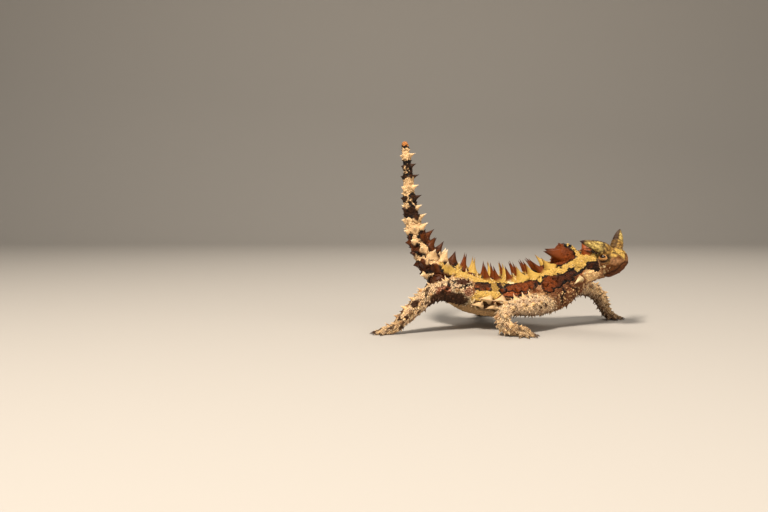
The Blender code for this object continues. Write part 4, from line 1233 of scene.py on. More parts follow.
def raw_skin(inset):
    """Closed lofts of every tube and toe, overlapping, as one mesh."""
    parts = []
    for name, tube in TUBES.items():
        segments = WIDE_SIDES if name in ("body", "head") else LIMB_SIDES
        rings = int(tube.length / RING_STEP)
        places = np.linspace(0, tube.length, rings)
        taper = KNOB_TAPER if name == "hump" else 0.0
        grow = -inset - taper * ramp(-places, -KNOB_REAR[1], -KNOB_REAR[0])
        grid = tube.grid(places, segments, grow[:, None, None])
        parts.append((capped(grid), *shell(rings, segments)))
    for name, digits in LIMB_DIGITS.items():
        for heading, length in digits:
            tube = digit_tube(name, heading, length)
            places = np.linspace(0, TOE_SHARE * tube.length, TOE_RINGS)
            grid = tube.grid(places, TOE_SIDES, -TOE_INSET)
            tip = grid[-1].mean(0) + TOE_END * tube.forward[-1]
            parts.append((capped(grid, last=tip), *shell(TOE_RINGS, TOE_SIDES)))
    return joined(parts)


def fused(parts, voxel):
    """One closed skin round overlapping shells, on an even grid of faces."""
    raw = mesh_object("raw_skin", *parts, {})
    step = raw.modifiers.new("one_skin", "REMESH")
    step.mode = "VOXEL"
    step.voxel_size = voxel * METRES_PER_MM
    graph = bpy.context.evaluated_depsgraph_get()
    mesh = bpy.data.meshes.new_from_object(raw.evaluated_get(graph))
    bpy.data.objects.remove(raw, do_unlink=True)
    return mesh


def refine_head(mesh):
    """Cuts every face of the head in four."""
    points = points_of(mesh)
    s, _, _, gap = TUBES["head"].locate(points)
    inside = (gap < REFINED_GAP) & (s > REFINED_FROM)
    edges = edges_of(mesh)
    wanted = np.flatnonzero(inside[edges].all(axis=1))
    shape = bmesh.new()
    shape.from_mesh(mesh)
    shape.edges.ensure_lookup_table()
    chosen = [shape.edges[k] for k in wanted]
    bmesh.ops.subdivide_edges(shape, edges=chosen, cuts=1, use_grid_fill=True)
    shape.to_mesh(mesh)
    shape.free()


def head_local(points):
    """Forward, left and up places from the head's centre."""
    return (points - np.asarray(HEAD_CENTRE)) @ np.array(head_axes()).T


def mouth_share(points, width, shift=0.0):
    """1 on the mouth line, falling off over its width; shift looks above or below the line."""
    ahead, _, above = head_local(points).T
    line = follow(MOUTH_LINE, ahead) + shift
    return np.exp(-(((above - line) / width) ** 2)) * ramp(ahead, MOUTH_START - 1, MOUTH_START)


def lumps(rise, spot, rows):
    """Adds height * exp(-LUMP_FALL * r^2) for every lump of a table, where r is 1 on its rim."""
    for row in rows:
        here = depth_in(*spot, row, 2.0) / min(row[2], row[3])
        rise += row[5] * np.exp(-LUMP_FALL * (1 - here) ** 2)
    return rise


def head_relief(points, s, angle, arc):
    """Brows, sockets, folds, nostrils and mouth: how far the skin rises on the head."""
    rise = lumps(np.zeros(len(points)), (s, abs(angle), arc), HEAD_RELIEF)
    rise -= 0.36 * mouth_share(points, 0.24)
    rise += 0.2 * mouth_share(points, 0.42, 0.75) + 0.12 * mouth_share(points, 0.42, -0.7)
    return rise + 0.07 * ripple(points, 1.7, 51)


def body_relief(points, s, angle, arc):
    """The swelling along the yellow stripe, the fold of the flank and small lumps."""
    a = abs(angle)
    trunk = ramp(s, *TRUNK_START) * ramp(-s, -TRUNK_END[1], -TRUNK_END[0])
    high, wide = STRIPE_SWELL
    rise = high * trunk * np.exp(-(((a - follow(STRIPE, s)) * arc / wide) ** 2))
    high, line, wide = FLANK_FOLD
    fold = high * trunk * np.exp(-(((a - line) * arc / wide) ** 2))
    rise -= fold * ramp(-s, -FOLD_END[1], -FOLD_END[0])
    rise = lumps(rise, (s, a, arc), BODY_RELIEF)
    return rise + 0.16 * ripple(points, 5.0, 52) + 0.1 * ripple(points, 2.4, 53)


def swell(points, thorns):
    """Mounds of skin under the big thorns."""
    rise = np.zeros(len(points))
    for roots, _, radii, *_ in thorns.values():
        for root, radius in zip(roots, radii):
            away = ((points - root) ** 2).sum(-1) / (MOUND_SPREAD * radius) ** 2
            rise = np.maximum(rise, MOUND_HEIGHT * radius * np.exp(-away))
    return rise


def relief(points, where, thorns):
    """How far the skin rises at every point, over all regions."""
    rise = 0.06 * ripple(points, 2.0, 54)
    for name, near, share, spot in regions_at(where):
        if name == "head":
            rise[near] += share * head_relief(points[near], *spot)
        elif name == "body":
            rise[near] += share * body_relief(points[near], *spot)
        else:
            rise[near] += share * 0.12 * ripple(points[near], 4.0, 55)
    return rise + swell(points, thorns)


def on_floor(points):
    """Points with whatever lies under the floor lifted onto it."""
    return np.concatenate([points[:, :2], np.maximum(points[:, 2:], 0)], axis=1)


def make_skin():
    """The whole skin: fused tubes, refined on the head, smoothed at the joins, then carved."""
    sizes = devil_sizes()
    voxel = sizes["skin_mesh"] * 1.0
    mesh = fused(raw_skin(sizes["skin_inset"]), voxel)
    refine_head(mesh)
    points, edges = points_of(mesh), edges_of(mesh)
    where = survey(points)
    join = 1 - ramp(where["weight"].max(axis=1), JOIN_LOW, JOIN_HIGH)
    points = smoothed(points, edges, JOIN_STRENGTH * join, JOIN_ROUNDS)
    points = smoothed(points, edges, ALL_STRENGTH + 0 * join, ALL_ROUNDS)
    set_points(mesh, points)
    rise = relief(points, where, all_thorns())
    floor_free = ramp(points[:, 2], *FLOOR_RELIEF)
    points = on_floor(points + normals_of(mesh) * (rise * floor_free)[:, None])
    set_points(mesh, points)
    ground, depth, colour = markings(points, devil_tones())
    # Painted shade: darker between the scales, more so on the limbs, darker in hollows of the
    # relief and less so on its lumps.
    relief_shade = np.clip(1 + HOLLOW_SHADE * rise, *RELIEF_SHADE_RANGE)
    limb = np.array([name in LIMB_TOP for name in REGIONS])[survey(points)["best"]]
    unshaded = np.where(limb, LIMB_UNSHADED, BODY_UNSHADED) * relief_shade
    attributes = {"ground": ground, "patch_colour": colour, "patch": depth, "unshaded": unshaded}
    write_attributes(mesh, attributes)
    mesh.shade_smooth()
    mesh.name = "skin"
    return linked("skin", mesh)


def set_points(mesh, points):
    """Moves the vertices of a mesh."""
    mesh.vertices.foreach_set("co", place(points).astype(np.float32).ravel())
    mesh.update()


# ---------------------------------------------------------------- scales and thorns


def tufts(roots, ways, backs, lengths, radii, profile, sides, stretch=1.0, hook=0.0, ridge=0.0):
    """Many scales or thorns: rings square to a way, along a line that bends back.

    A ring at height share t has its middle at root + way * length * t + back * hook * length * t^2
    and the profile's radius share, stretched along back; the tip is at t = 1.  The radius swells
    by ridge * cos(THORN_RIDGES * turn).
    """
    ways = unit(ways)
    backs = unit(backs - ways * (backs * ways).sum(-1, keepdims=True))
    across = np.cross(ways, backs)
    t, share = np.array(profile).T
    turn = np.arange(sides) * 2 * math.pi / sides
    keels = 1 + ridge * np.cos(THORN_RIDGES * turn)
    circle = backs[:, None] * (keels * np.cos(turn) * stretch)[:, None]
    circle = circle + across[:, None] * (keels * np.sin(turn))[:, None]
    line = ways[:, None] * t[:, None] + backs[:, None] * (hook * t * t)[:, None]
    middle = roots[:, None] + line * lengths[:, None, None]
    wide = (radii[:, None] * share)[..., None, None]
    rings = middle[:, :, None] + circle[:, None] * wide
    tips = roots + (ways + backs * hook) * lengths[:, None]
    points = np.concatenate([rings.reshape(len(roots), -1, 3), tips[:, None]], axis=1)
    spread = share[:, None, None] * np.stack([np.cos(turn), np.sin(turn)], -1)
    disc = np.concatenate([spread.reshape(-1, 2), [[0, 0]]]) * PATCH_ACROSS / 2 / share.max()
    height = np.append(np.repeat(np.clip(t, 0, 1), sides), 1.0)
    low = roots[:, None, None] + circle[:, None] * wide
    low = np.concatenate([low.reshape(len(roots), -1, 3), roots[:, None]], axis=1)
    return {"points": points, "disc": disc, "height": height, "sides": sides, "low": low}


def tuft_faces(rings, sides):
    """Corners and starts of one tuft: quads between its rings, a fan to the tip and a cap."""
    k = np.arange(sides)
    after = (k + 1) % sides
    ring = np.arange(rings - 1)[:, None] * sides
    quads = np.stack([ring + k, ring + after, ring + sides + after, ring + sides + k], -1)
    last = (rings - 1) * sides
    fan = np.stack([last + k, last + after, 0 * k + rings * sides], -1)
    corners = np.concatenate([quads.ravel(), fan.ravel(), k[::-1]])
    four = np.arange(quads.size // 4) * 4
    three = quads.size + np.arange(sides) * 3
    return corners, np.concatenate([four, three, [quads.size + fan.size]])


def chart_places(roots, where, spans):
    """UV of each root: its region's share of the map, then s along and angle across."""
    out = np.zeros((len(roots), 2))
    best = where["best"].copy()
    charted = [REGIONS.index(name) for name, _, _ in spans]
    best[~np.isin(best, charted)] = charted[0]
    for number, (name, first, last) in enumerate(spans):
        k = REGIONS.index(name)
        mine = best == k
        last = min(last, TUBES[name].length)
        along = np.clip((where["s"][mine, k] - first) / (last - first), 0, 1)
        round_ = (where["angle"][mine, k] + 180) / 360
        along = CHART_EDGE + (1 - 2 * CHART_EDGE) * along
        out[mine, 0] = (number + along) / len(spans)
        out[mine, 1] = CHART_EDGE + (1 - 2 * CHART_EDGE) * round_
    return out


def tuft_colours(batch, tones):
    """Ground, patch colour and depth in patches at every point of a batch of tufts.

    A scale or spike has the markings of its root.  A big thorn has the skin's own round its root
    and one colour above it.  All fade towards the tip's tone, or to black on dark ground.
    """
    roots, made, tip = batch["roots"], batch["made"], batch["tip"]
    count, each = made["points"].shape[:2]
    height = made["height"]
    ground, depth, colour = markings(roots, tones)
    shade = np.random.default_rng(count).normal(1.0, SHADE_SPREAD, (count, 1))
    ground, colour = ground * shade, colour * shade
    base = np.where((depth > 0.0)[:, None], colour, ground)
    for k, tone in enumerate(batch.get("tone", ())):
        if tone:
            base[k] = tones[tone]
    bright = ramp(base @ LUMA, DARK_GROUND, PALE_GROUND)
    end = mix(tones["black"] + 0 * base, tones[tip["tone"]], bright)
    share = tip["share"] * ramp(height, tip["start"], 1.0)
    share = share[None, :] + 0 * bright[:, None]
    if "tone" not in batch:
        ground, colour = (mix(part[:, None], end[:, None], share) for part in (ground, colour))
        return ground, colour, np.repeat(depth[:, None], each, axis=1)
    low = made["low"].reshape(-1, 3)
    own = seen(*markings(low, tones), tones["black"]).reshape(count, each, 3)
    plain_tone = np.isin(batch["tone"], ("", "rust"))[:, None]
    free = np.where(plain_tone, ramp(height, *OWN_COLOUR), ramp(height, *SET_COLOUR))
    ground = mix(mix(own, base[:, None], free), end[:, None], share)
    return ground, ground, np.full((count, each), NO_PATCH)


def tuft_uv(places, made, corners):
    """Each tuft as a disc round its root's place on the map, its hidden cap beside the disc."""
    sides = made["sides"]
    uv = places[:, None] + made["disc"][corners]
    cap = (uv[:, -sides:] - uv[:, -sides:].mean(1, keepdims=True)) * CAP_SIZE
    uv[:, -sides:] = cap + (places[:, None] + (PATCH_ACROSS * CAP_ASIDE, 0))
    return uv.reshape(-1, 2)


def coat_object(name, batches, spans):
    """One coat piece from batches of tufts with their roots, shapes, tips and set tones."""
    tones = devil_tones()
    parts, uvs, layers = [], [], {"ground": [], "patch_colour": [], "patch": [], "unshaded": []}
    for batch in batches:
        roots, made, low = batch["roots"], batch["made"], batch["tip"]["low"]
        count, each = made["points"].shape[:2]
        if count == 0:
            continue
        ground, colour, depth = tuft_colours(batch, tones)
        # Painted shade: each tuft darker at its root, full colour towards its tip.
        unshaded = np.broadcast_to(low + (1 - low) * made["height"] ** 0.7, (count, each))
        layers["ground"].append(ground.reshape(-1, 3))
        layers["patch_colour"].append(colour.reshape(-1, 3))
        layers["patch"].append(depth.ravel())
        layers["unshaded"].append(unshaded.ravel())
        corners, starts = tuft_faces(len(made["disc"]) // made["sides"], made["sides"])
        loops = (np.arange(count)[:, None] * each + corners).ravel()
        starts = (np.arange(count)[:, None] * len(corners) + starts).ravel()
        parts.append((made["points"].reshape(-1, 3), loops, starts))
        uvs.append(tuft_uv(chart_places(roots, survey(roots), spans), made, corners))
    attributes = {key: np.concatenate(values) for key, values in layers.items()}
    return mesh_object(name, *joined(parts), attributes, np.concatenate(uvs))


def chosen(count, pairs, allowed, seed):
    """A random set of points, none of them paired, that leaves no room for another."""
    rank = np.random.default_rng(seed).permutation(count).astype(float)
    rank[~allowed] = -1
    taken = np.zeros(count, bool)
    first, last = np.concatenate([pairs, pairs[:, ::-1]]).T
    for _ in range(40):
        best = np.full(count, -1.0)
        np.maximum.at(best, first, rank[last])
        new = (rank >= 0) & (rank > best)
        if not new.any():
            break
        taken |= new
        rank[new] = -1
        rank[first[new[last]]] = -1
    return taken


def close_pairs(points, distance):
    """Pairs of points nearer to each other than a distance."""
    first, last = [], []
    for start in range(0, len(points), 1000):
        part = points[start : start + 1000]
        away = ((part[:, None] - points[None]) ** 2).sum(-1)
        i, j = np.nonzero(away < distance**2)
        keep = i + start < j
        first.append(i[keep] + start)
        last.append(j[keep])
    return np.stack([np.concatenate(first), np.concatenate(last)], -1)


def far_from(points, centres, radii):
    """Which points lie outside every one of some balls."""
    out = np.ones(len(points), bool)
    for centre, radius in zip(centres, radii):
        out &= ((points - centre) ** 2).sum(-1) > radius**2
    return out


def backs_at(where, best):
    """The direction towards the tail, or down a limb, at each point."""
    out = np.zeros((len(best), 3))
    for k, name in enumerate(REGIONS):
        mine = best == k
        tube = TUBES[name]
        aft = 1.0 if name in LIMB_TOP else -1.0
        out[mine] = tube.read(tube.forward, where["s"][mine, k]) * aft
    return out


def skin_sites():
    """Vertices, normals, pairs and places of the skin, and the roots of all big thorns."""
    mesh = bpy.data.objects["skin"].data
    points = points_of(mesh)
    thorns = all_thorns()
    roots = np.concatenate([part[0] for part in thorns.values()])
    radii = np.concatenate([part[2] for part in thorns.values()])
    return {
        "points": points,
        "normals": normals_of(mesh),
        "edges": edges_of(mesh),
        "diagonals": diagonals_of(mesh),
        "where": survey(points),
        "thorn_roots": roots,
        "thorn_radii": radii,
    }


def open_skin(sites):
    """Vertices that may carry scales: off the soles, eyes, mouth and horn roots."""
    points = sites["points"]
    free = (points[:, 2] > SOLE_HEIGHT) & (sites["normals"][:, 2] > SOLE_FACING)
    for side, _ in LEFT_RIGHT:
        free &= far_from(points, [eye_centre(side)], [EYE_BARE])
        free &= horn_tube(side).locate(points)[3] > HORN_BARE
    head = sites["where"]["best"] == REGIONS.index("head")
    return free & ~(head & (mouth_share(points, 0.3) > MOUTH_BARE))


def spike_sites(sites, free):
    """Skin vertices that carry small spikes, with their lengths and radii."""
    where, best = sites["where"], sites["where"]["best"]
    points = sites["points"]
    clear = far_from(points, sites["thorn_roots"], THORN_TO_SPIKE * sites["thorn_radii"])
    index, lengths, radii = [], [], []
    rng = np.random.default_rng(5)
    for name, (first, last), (low, high), gap, (short, long), radius in SPIKE_FIELDS:
        k = REGIONS.index(name)
        s, angle = where["s"][:, k], abs(where["angle"][:, k])
        last = min(last, TUBES[name].length - SPIKE_FREE)
        mine = free & clear & (best == k) & (s > first) & (s < last)
        mine &= (angle >= low) & (angle < high)
        if name in LIMB_TOP:
            mine &= points[:, 2] > SPIKE_FLOOR
        spots = np.flatnonzero(mine)
        spots = spots[rng.permutation(len(spots))[:SPIKE_SPOTS]]
        pairs = close_pairs(points[spots], gap)
        kept = spots[chosen(len(spots), pairs, np.ones(len(spots), bool), 6)]
        size_ = rng.uniform(0, 1, len(kept)) ** SHORT_SPIKES
        index.append(kept)
        lengths.append(short + (long - short) * size_)
        radii.append(radius * (SPIKE_WIDTHS[0] + SPIKE_WIDTHS[1] * size_))
    return np.concatenate(index), np.concatenate(lengths), np.concatenate(radii)


def scale_sites(sites, free, spikes):
    """Skin vertices that carry scales, with a radius for each: large ones, then small between."""
    sizes = devil_sizes()
    where, best, points = sites["where"], sites["where"]["best"], sites["points"]
    clear = far_from(points, sites["thorn_roots"], THORN_TO_SCALE * sites["thorn_radii"])
    index, _, radii = spikes
    clear &= far_from(points, points[index], SPIKE_TO_SCALE * radii)
    free = free & clear
    count = len(points)
    head = best == REGIONS.index("head")
    foot = np.zeros(count, bool)
    for name in LIMB_TOP:
        k = REGIONS.index(name)
        foot |= (best == k) & (where["s"][:, k] > TUBES[name].length - FOOT_LENGTH)
    both = np.concatenate([sites["edges"], sites["diagonals"]])
    loose = foot[both].all(axis=1)
    wide = np.concatenate([both[~loose], sites["edges"]])
    large = chosen(count, wide, free, 7)
    near = np.zeros(count, bool)
    ends = sites["edges"][large[sites["edges"]].any(axis=1)]
    near[ends.ravel()] = True
    small = chosen(count, sites["edges"], free & ~near & ~foot, 8)
    radius = np.where(head, sizes["head_scale"], sizes["scale_radius"])
    radius = np.where(foot, sizes["foot_scale"], radius)
    radius = np.where(small, SMALL_SCALE * radius, radius)
    sites_ = np.flatnonzero(large | small)
    return sites_, radius[sites_]


def piece_of(where, best):
    """The coat piece that each place belongs to, as an index into COAT_PIECES."""
    out = np.full(len(best), -1)
    for number, (_, spans, _) in enumerate(COAT_PIECES):
        for name, first, last in spans:
            k = REGIONS.index(name)
            s = where["s"][:, k]
            out[(best == k) & (s >= first) & (s < last + 1e-6)] = number
    return out


def make_scales():
    """Bead-like scales and small spikes over the whole skin, one piece per part of the body."""
    sites = skin_sites()
    sizes = devil_sizes()
    free = open_skin(sites)
    spikes = spike_sites(sites, free)
    scales, radius = scale_sites(sites, free, spikes)
    points, normals = sites["points"], sites["normals"]
    where, best = sites["where"], sites["where"]["best"]
    backs = backs_at(where, best)
    owner = piece_of(where, best)
    rng = np.random.default_rng(9)
    made = []
    for number, (name, spans, slot) in enumerate(COAT_PIECES):
        mine = owner[scales] == number
        at, wide = scales[mine], radius[mine] * rng.uniform(*SCALE_WIDTHS, mine.sum())
        tall = wide * sizes["scale_height"] / sizes["scale_radius"]
        tall *= rng.uniform(*SCALE_HEIGHTS, len(at))
        way = unit(normals[at] + SCALE_LEAN * backs[at])
        form = (SCALE_PROFILE, TUFT_SIDES, SCALE_STRETCH)
        domes = tufts(points[at], way, backs[at], tall, wide, *form)
        tip = LIMB_SCALE_TIP if slot == "limb_skin" else SCALE_TIP
        batches = [{"roots": points[at], "made": domes, "tip": tip}]
        mine = owner[spikes[0]] == number
        at, tall, wide = (column[mine] for column in spikes)
        way = unit(normals[at] + SPIKE_LEAN * backs[at])
        form = (SPIKE_PROFILE, TUFT_SIDES, SPIKE_STRETCH, SPIKE_HOOK)
        cones = tufts(points[at], way, backs[at], tall, wide, *form)
        batches.append({"roots": points[at], "made": cones, "tip": SPIKE_TIP})
        made.append((coat_object(name + "_scales", batches, spans), slot))
    return made


def knob_roots(tips):
    """Middles of the cones of the knob, inside it, each a little towards its own tip."""
    tube = TUBES["hump"]
    side = np.where(tips[:, 1] > tube.axis[0, 1], 1.0, -1.0)
    middle = tube.read(tube.axis, KNOB_MIDDLE)
    return middle + tube.read(tube.side, KNOB_MIDDLE) * (side * KNOB_ASIDE)[:, None]


def make_thorns():
    """The big thorns, each swept back from a root stretched along the body."""
    made = []
    thorns = all_thorns()
    for name, spans, slot in COAT_PIECES:
        if name not in thorns:
            continue
        if name == "trunk":
            spans = (("body", TAIL_BASE_CUT, TRUNK_CUT),)
        found = thorns[name]
        knob = (found[2] > KNOB_RADIUS) & (name == "neck")
        yellow = (found[4] == "yellow") & (name == "trunk")
        batches = []
        for mine, profile, deep, stretch in (
            (~knob & ~yellow, THORN_PROFILE, THORN_DEPTH, THORN_STRETCH),
            (yellow, BACK_PROFILE, THORN_DEPTH, BACK_STRETCH),
            (knob, KNOB_PROFILE, 0.0, 1.0),
        ):
            if not mine.any():
                continue
            roots, tips, radii, along, tone = (column[mine] for column in found)
            if profile is KNOB_PROFILE:
                roots = knob_roots(tips)
                radii = KNOB_SWELL * radii
            way = tips - roots
            lengths = np.linalg.norm(way, axis=1) + deep
            form = (profile, THORN_SIDES, stretch, 0.0, THORN_RIDGE)
            cones = tufts(roots - unit(way) * deep, way, along, lengths, radii, *form)
            tip = DARK_THORN_TIP if name in ("trunk", "neck") else PALE_THORN_TIP
            batches.append({"roots": roots, "made": cones, "tip": tip, "tone": tone})
        made.append((coat_object(name + "_thorns", batches, spans), slot))
    return made


# ---------------------------------------------------------------- horns, eyes and claws


def horn_colours(flat, along, turn, side, cell):
    """Yellow and brown stripes and spots, a dark band across the middle and a dark tip."""
    tones = devil_tones()
    outer = side * np.cos(turn)
    face = ramp(np.sin(turn) + 0.35 * outer, 0.2, 0.62)
    stripes = ramp(np.sin(5.0 * turn + 2.0 * along + 1.2 * ripple(flat, 3.0, 61)), 0.1, 0.8)
    spots = ramp(ripple(flat, 1.8, 63), 0.3, 1.2)
    low = ramp(-np.sin(turn), -0.5, 0.05) * ramp(outer, 0.0, 0.6)
    far_end = ramp(along + 0.1 * ripple(flat, 5.0, 65), 0.55, 0.78)
    colour = mix(tones["horn_brown"] + 0 * flat, tones["horn_yellow"], face)
    colour = mix(colour, tones["crown"], ramp(-along, -0.34, -0.24) * (0.3 + 0.7 * face))
    for share in (0.55 * far_end * ramp(-outer, -0.9, 0.1), 0.6 * stripes, 0.5 * spots):
        colour = mix(colour, tones["horn_brown"], share)
    colour = colour * cell[:, None]
    band = np.exp(-(((along - 0.33 - 0.03 * ripple(flat, 4.0, 64)) / 0.035) ** 2))
    for share in (0.9 * low * ramp(along, 0.24, 0.36), 0.75 * band, ramp(along, 0.8, 0.92)):
        colour = mix(colour, tones["horn_tip"], share)
    return colour


def make_horns():
    """Each horn: its tube flattened to two keels, covered in rows of plates that fade upwards.

    The radius at angle p and share t of the length is r(t) times HORN_GIRTH + HORN_KEEL * cos(p)^4
    + notches on the keels + fine grooves between them + HORN_PLATE * plate.  Every second row of
    plates is turned by half a plate.
    """
    made = []
    for side, word in LEFT_RIGHT:
        tube = horn_tube(side)
        t = np.linspace(0.0, 1.0, HORN_RINGS)[:, None]
        s = t * tube.length
        degrees = np.arange(HORN_SEGMENTS)[None, :] * 360.0 / HORN_SEGMENTS
        angle = np.radians(degrees)
        grid = tube.surface(s, degrees)
        axis = tube.read(tube.axis, s)
        flat = grid.reshape(-1, 3)
        row = t * HORN_ROWS + 0.35 * np.sin(2 * angle)
        column = degrees / 360.0 * HORN_COLUMNS + 0.5 * (np.floor(row) % 2)
        high, wide = 2 * (row % 1) - 1, 2 * (column % 1) - 1
        plate = np.sqrt((1 - high**4) * (1 - wide**4)) * ramp(-t, -0.82, -0.5)
        keel = np.cos(angle) ** 4
        notch = HORN_NOTCH * keel * np.maximum(0, np.sin(HORN_NOTCHES * t * math.pi)) ** 0.7
        groove = HORN_GROOVE * np.sin(HORN_GROOVES * angle + 3 * t) * (1 - keel)
        share = HORN_GIRTH + HORN_KEEL * keel + groove + notch + HORN_PLATE * plate
        share = share * (1 - 0.25 * ramp(t, 0.9, 1.0))
        grid = axis + (grid - axis) * share[..., None]
        points = capped(grid, last=grid[-1].mean(0) + 0.15 * tube.forward[-1])
        along, turn = (np.broadcast_to(part, share.shape).ravel() for part in (t, angle))
        plates = (HORN_ROWS + 3, HORN_COLUMNS)
        bright = np.random.default_rng(17).normal(1.0, PLATE_SPREAD, plates)
        cell = bright[np.floor(row).astype(int), np.floor(column).astype(int) % HORN_COLUMNS]
        colour = horn_colours(flat, along, turn, side, cell.ravel())
        # Painted shade between the plates, fading out towards the tip.
        unshaded = np.append(0.55 + 0.45 * plate.ravel() + ramp(along, 0.5, 0.82), [1, 1])
        layers = plain_layers(np.concatenate([colour, colour[[0, -1]]]), np.clip(unshaded, 0, 1))
        loops = shell(HORN_RINGS, HORN_SEGMENTS)
        made.append((mesh_object("horn_shell_" + word, points, *loops, layers), word))
    return made


def eye_frame(side):
    """An eye's centre and its outward, forward and upward directions on the head."""
    forward, _, _ = head_axes()
    centre = eye_centre(side)
    tube = TUBES["head"]
    s, angle, _, _ = tube.locate(centre[None])
    out = unit(tube.outward(s, angle)[0] + 0.25 * forward)
    ahead = unit(forward - out * forward.dot(out))
    above = np.cross(out, ahead) * (1 if side < 0 else -1)
    return centre, out, ahead, above


def make_eyeballs():
    """Each eyeball: a sphere whose pole is the gaze, with the pupil and iris as rings round it."""
    tones = devil_tones()
    radius = devil_sizes()["eye_radius"]
    made = []
    for side, word in LEFT_RIGHT:
        centre, out, ahead, above = eye_frame(side)
        tilt = np.linspace(EYE_CAP, math.pi - EYE_CAP, EYE_RINGS)[:, None]
        turn = np.arange(EYE_SEGMENTS)[None, :] * 2 * math.pi / EYE_SEGMENTS
        round_ = ahead * np.cos(turn)[..., None] * -side + above * np.sin(turn)[..., None]
        grid = centre + (round_ * np.sin(tilt)[..., None] - out * np.cos(tilt)[..., None]) * radius
        away = np.degrees(math.pi - np.broadcast_to(tilt, grid.shape[:2])).ravel()
        colour = tones["black"] + np.zeros((len(away), 3))
        colour = mix(colour, tones["iris"], ramp(away, *PUPIL_EDGE))
        colour = mix(colour, tones["ear"], ramp(away, *IRIS_EDGE))
        colour = np.concatenate([colour, colour[[0, -1]]])
        points = capped(grid, centre - out * radius, centre + out * radius)
        loops = shell(EYE_RINGS, EYE_SEGMENTS)
        made.append((mesh_object("eyeball_" + word, points, *loops, {"ground": colour}), word))
    return made


def make_lids():
    """The lids of each eye: a closed ring round an almond opening that lies on the eyeball.

    Seen along the gaze its edges are ellipses, the inner one flatter above than below.  Over the
    sphere sqrt(radius^2 - r^2) it rises by the height of LID_SECTION plus rows of beads, and past
    LID_ROUND * radius the sphere goes on as a slope, so the outer edge is sunk in the head.
    """
    radius = devil_sizes()["eye_radius"]
    tones = devil_tones()
    made = []
    for side, word in LEFT_RIGHT:
        centre, out, ahead, above = eye_frame(side)
        u = np.arange(LID_SEGMENTS)[None, :] * 2 * math.pi / LID_SEGMENTS
        section = np.array(LID_SECTION)
        share, height = section[:, :1], section[:, 1:]
        wide, upper, lower = LID_OPENING
        x = (wide + (LID_OUTER[0] - wide) * share) * np.cos(u)
        high = np.where(np.sin(u) > 0, upper, lower)
        y = (high + (LID_OUTER[1] - high) * share) * np.sin(u) * (1 - LID_NARROWING * np.cos(u))
        flat, rim = np.hypot(x, y), LID_ROUND * radius
        dome = np.sqrt(np.maximum(radius**2 - np.minimum(flat, rim) ** 2, 0.01))
        dome = dome - LID_SLOPE * np.maximum(flat - rim, 0)
        lump = LID_BEAD * np.sin(LID_BEADS * u + 9 * share)
        lump = lump * ramp(share, 0.02, 0.1) * ramp(-share, -0.9, -0.5)
        level = dome + height + lump
        grid = centre + ahead * x[..., None] + above * y[..., None] + out * level[..., None]
        if side > 0:
            grid = grid[:, ::-1]
        points = grid.reshape(-1, 3)
        share = (share + 0 * u).ravel()
        # Painted shade at the rim of the opening and in the groove across the lids; the lids' own
        # tone between, the face's outside.
        colour = mix(tones["ear"] + 0 * points, tones["lid"], ramp(share, 0.0, 0.12))
        colour = mix(colour, tones["jaw_and_shade"], 0.6 * np.exp(-(((share - 0.43) / 0.07) ** 2)))
        colour = mix(colour, tones["muzzle"], ramp(share, 0.6, 0.95))
        layers = plain_layers(colour, 0.8 + 0 * share)
        loops = shell(len(section), LID_SEGMENTS, closed=True)
        made.append((mesh_object("eyelids_" + word, points, *loops, layers), word))
    return made


def make_claws():
    """Every claw: a narrow cone from inside its toe, curved down to the floor."""
    parts = []
    for name, digits in LIMB_DIGITS.items():
        for heading, length in digits:
            tube = digit_tube(name, heading, length)
            places = np.linspace(CLAW_START, 1.0, CLAW_RINGS) * tube.length
            axis = tube.read(tube.axis, places)[:, None]
            t = np.linspace(0, 1, CLAW_RINGS)[:, None, None]
            grid = axis + (tube.grid(places, CLAW_SEGMENTS) - axis) * (0.78 - 0.28 * t)
            grid[..., 2] = np.maximum(grid[..., 2] + 0.35 * np.sin(math.pi * t[..., 0]), 0.02)
            parts.append((capped(grid), *shell(CLAW_RINGS, CLAW_SEGMENTS)))
    return mesh_object("claws", *joined(parts), {})


# ---------------------------------------------------------------- materials


def add(tree, kind, inputs=(), **settings):
    """Adds a shader node with its settings; a socket given another node's output is linked."""
    node = tree.nodes.new("ShaderNode" + kind)
    for name, value in settings.items():
        setattr(node, name, value)
    for socket, value in dict(inputs).items():
        if isinstance(value, bpy.types.NodeSocket):
            tree.links.new(value, node.inputs[socket])
        else:
            node.inputs[socket].default_value = value
    return node


def plain(name, colour, roughness, ior=1.5, shine=0.5):
    """A material of one colour; a shine under 0.5 dulls its reflections."""
    material = bpy.data.materials.new(name)
    material.use_nodes = True
    shader = material.node_tree.nodes["Principled BSDF"]
    shader.inputs["Base Color"].default_value = (*colour[:3], 1.0)
    shader.inputs["Roughness"].default_value = roughness
    shader.inputs["IOR"].default_value = ior
    shader.inputs["Specular IOR Level"].default_value = shine
    return material


def mixed(tree, below, above, factor, blend="MIX"):
    """A colour mix node's output."""
    inputs = {0: factor, 6: below, 7: above}
    return add(tree, "Mix", inputs, data_type="RGBA", blend_type=blend).outputs[2]


def ranged(tree, value, low, high, least=0.0, most=1.0):
    """A value carried from one range to another."""
    return add(tree, "MapRange", {0: value, 1: low, 2: high, 3: least, 4: most}).outputs[0]


def grey(tree, value):
    """A grey of some value."""
    return add(tree, "CombineColor", {k: value for k in range(3)}).outputs[0]


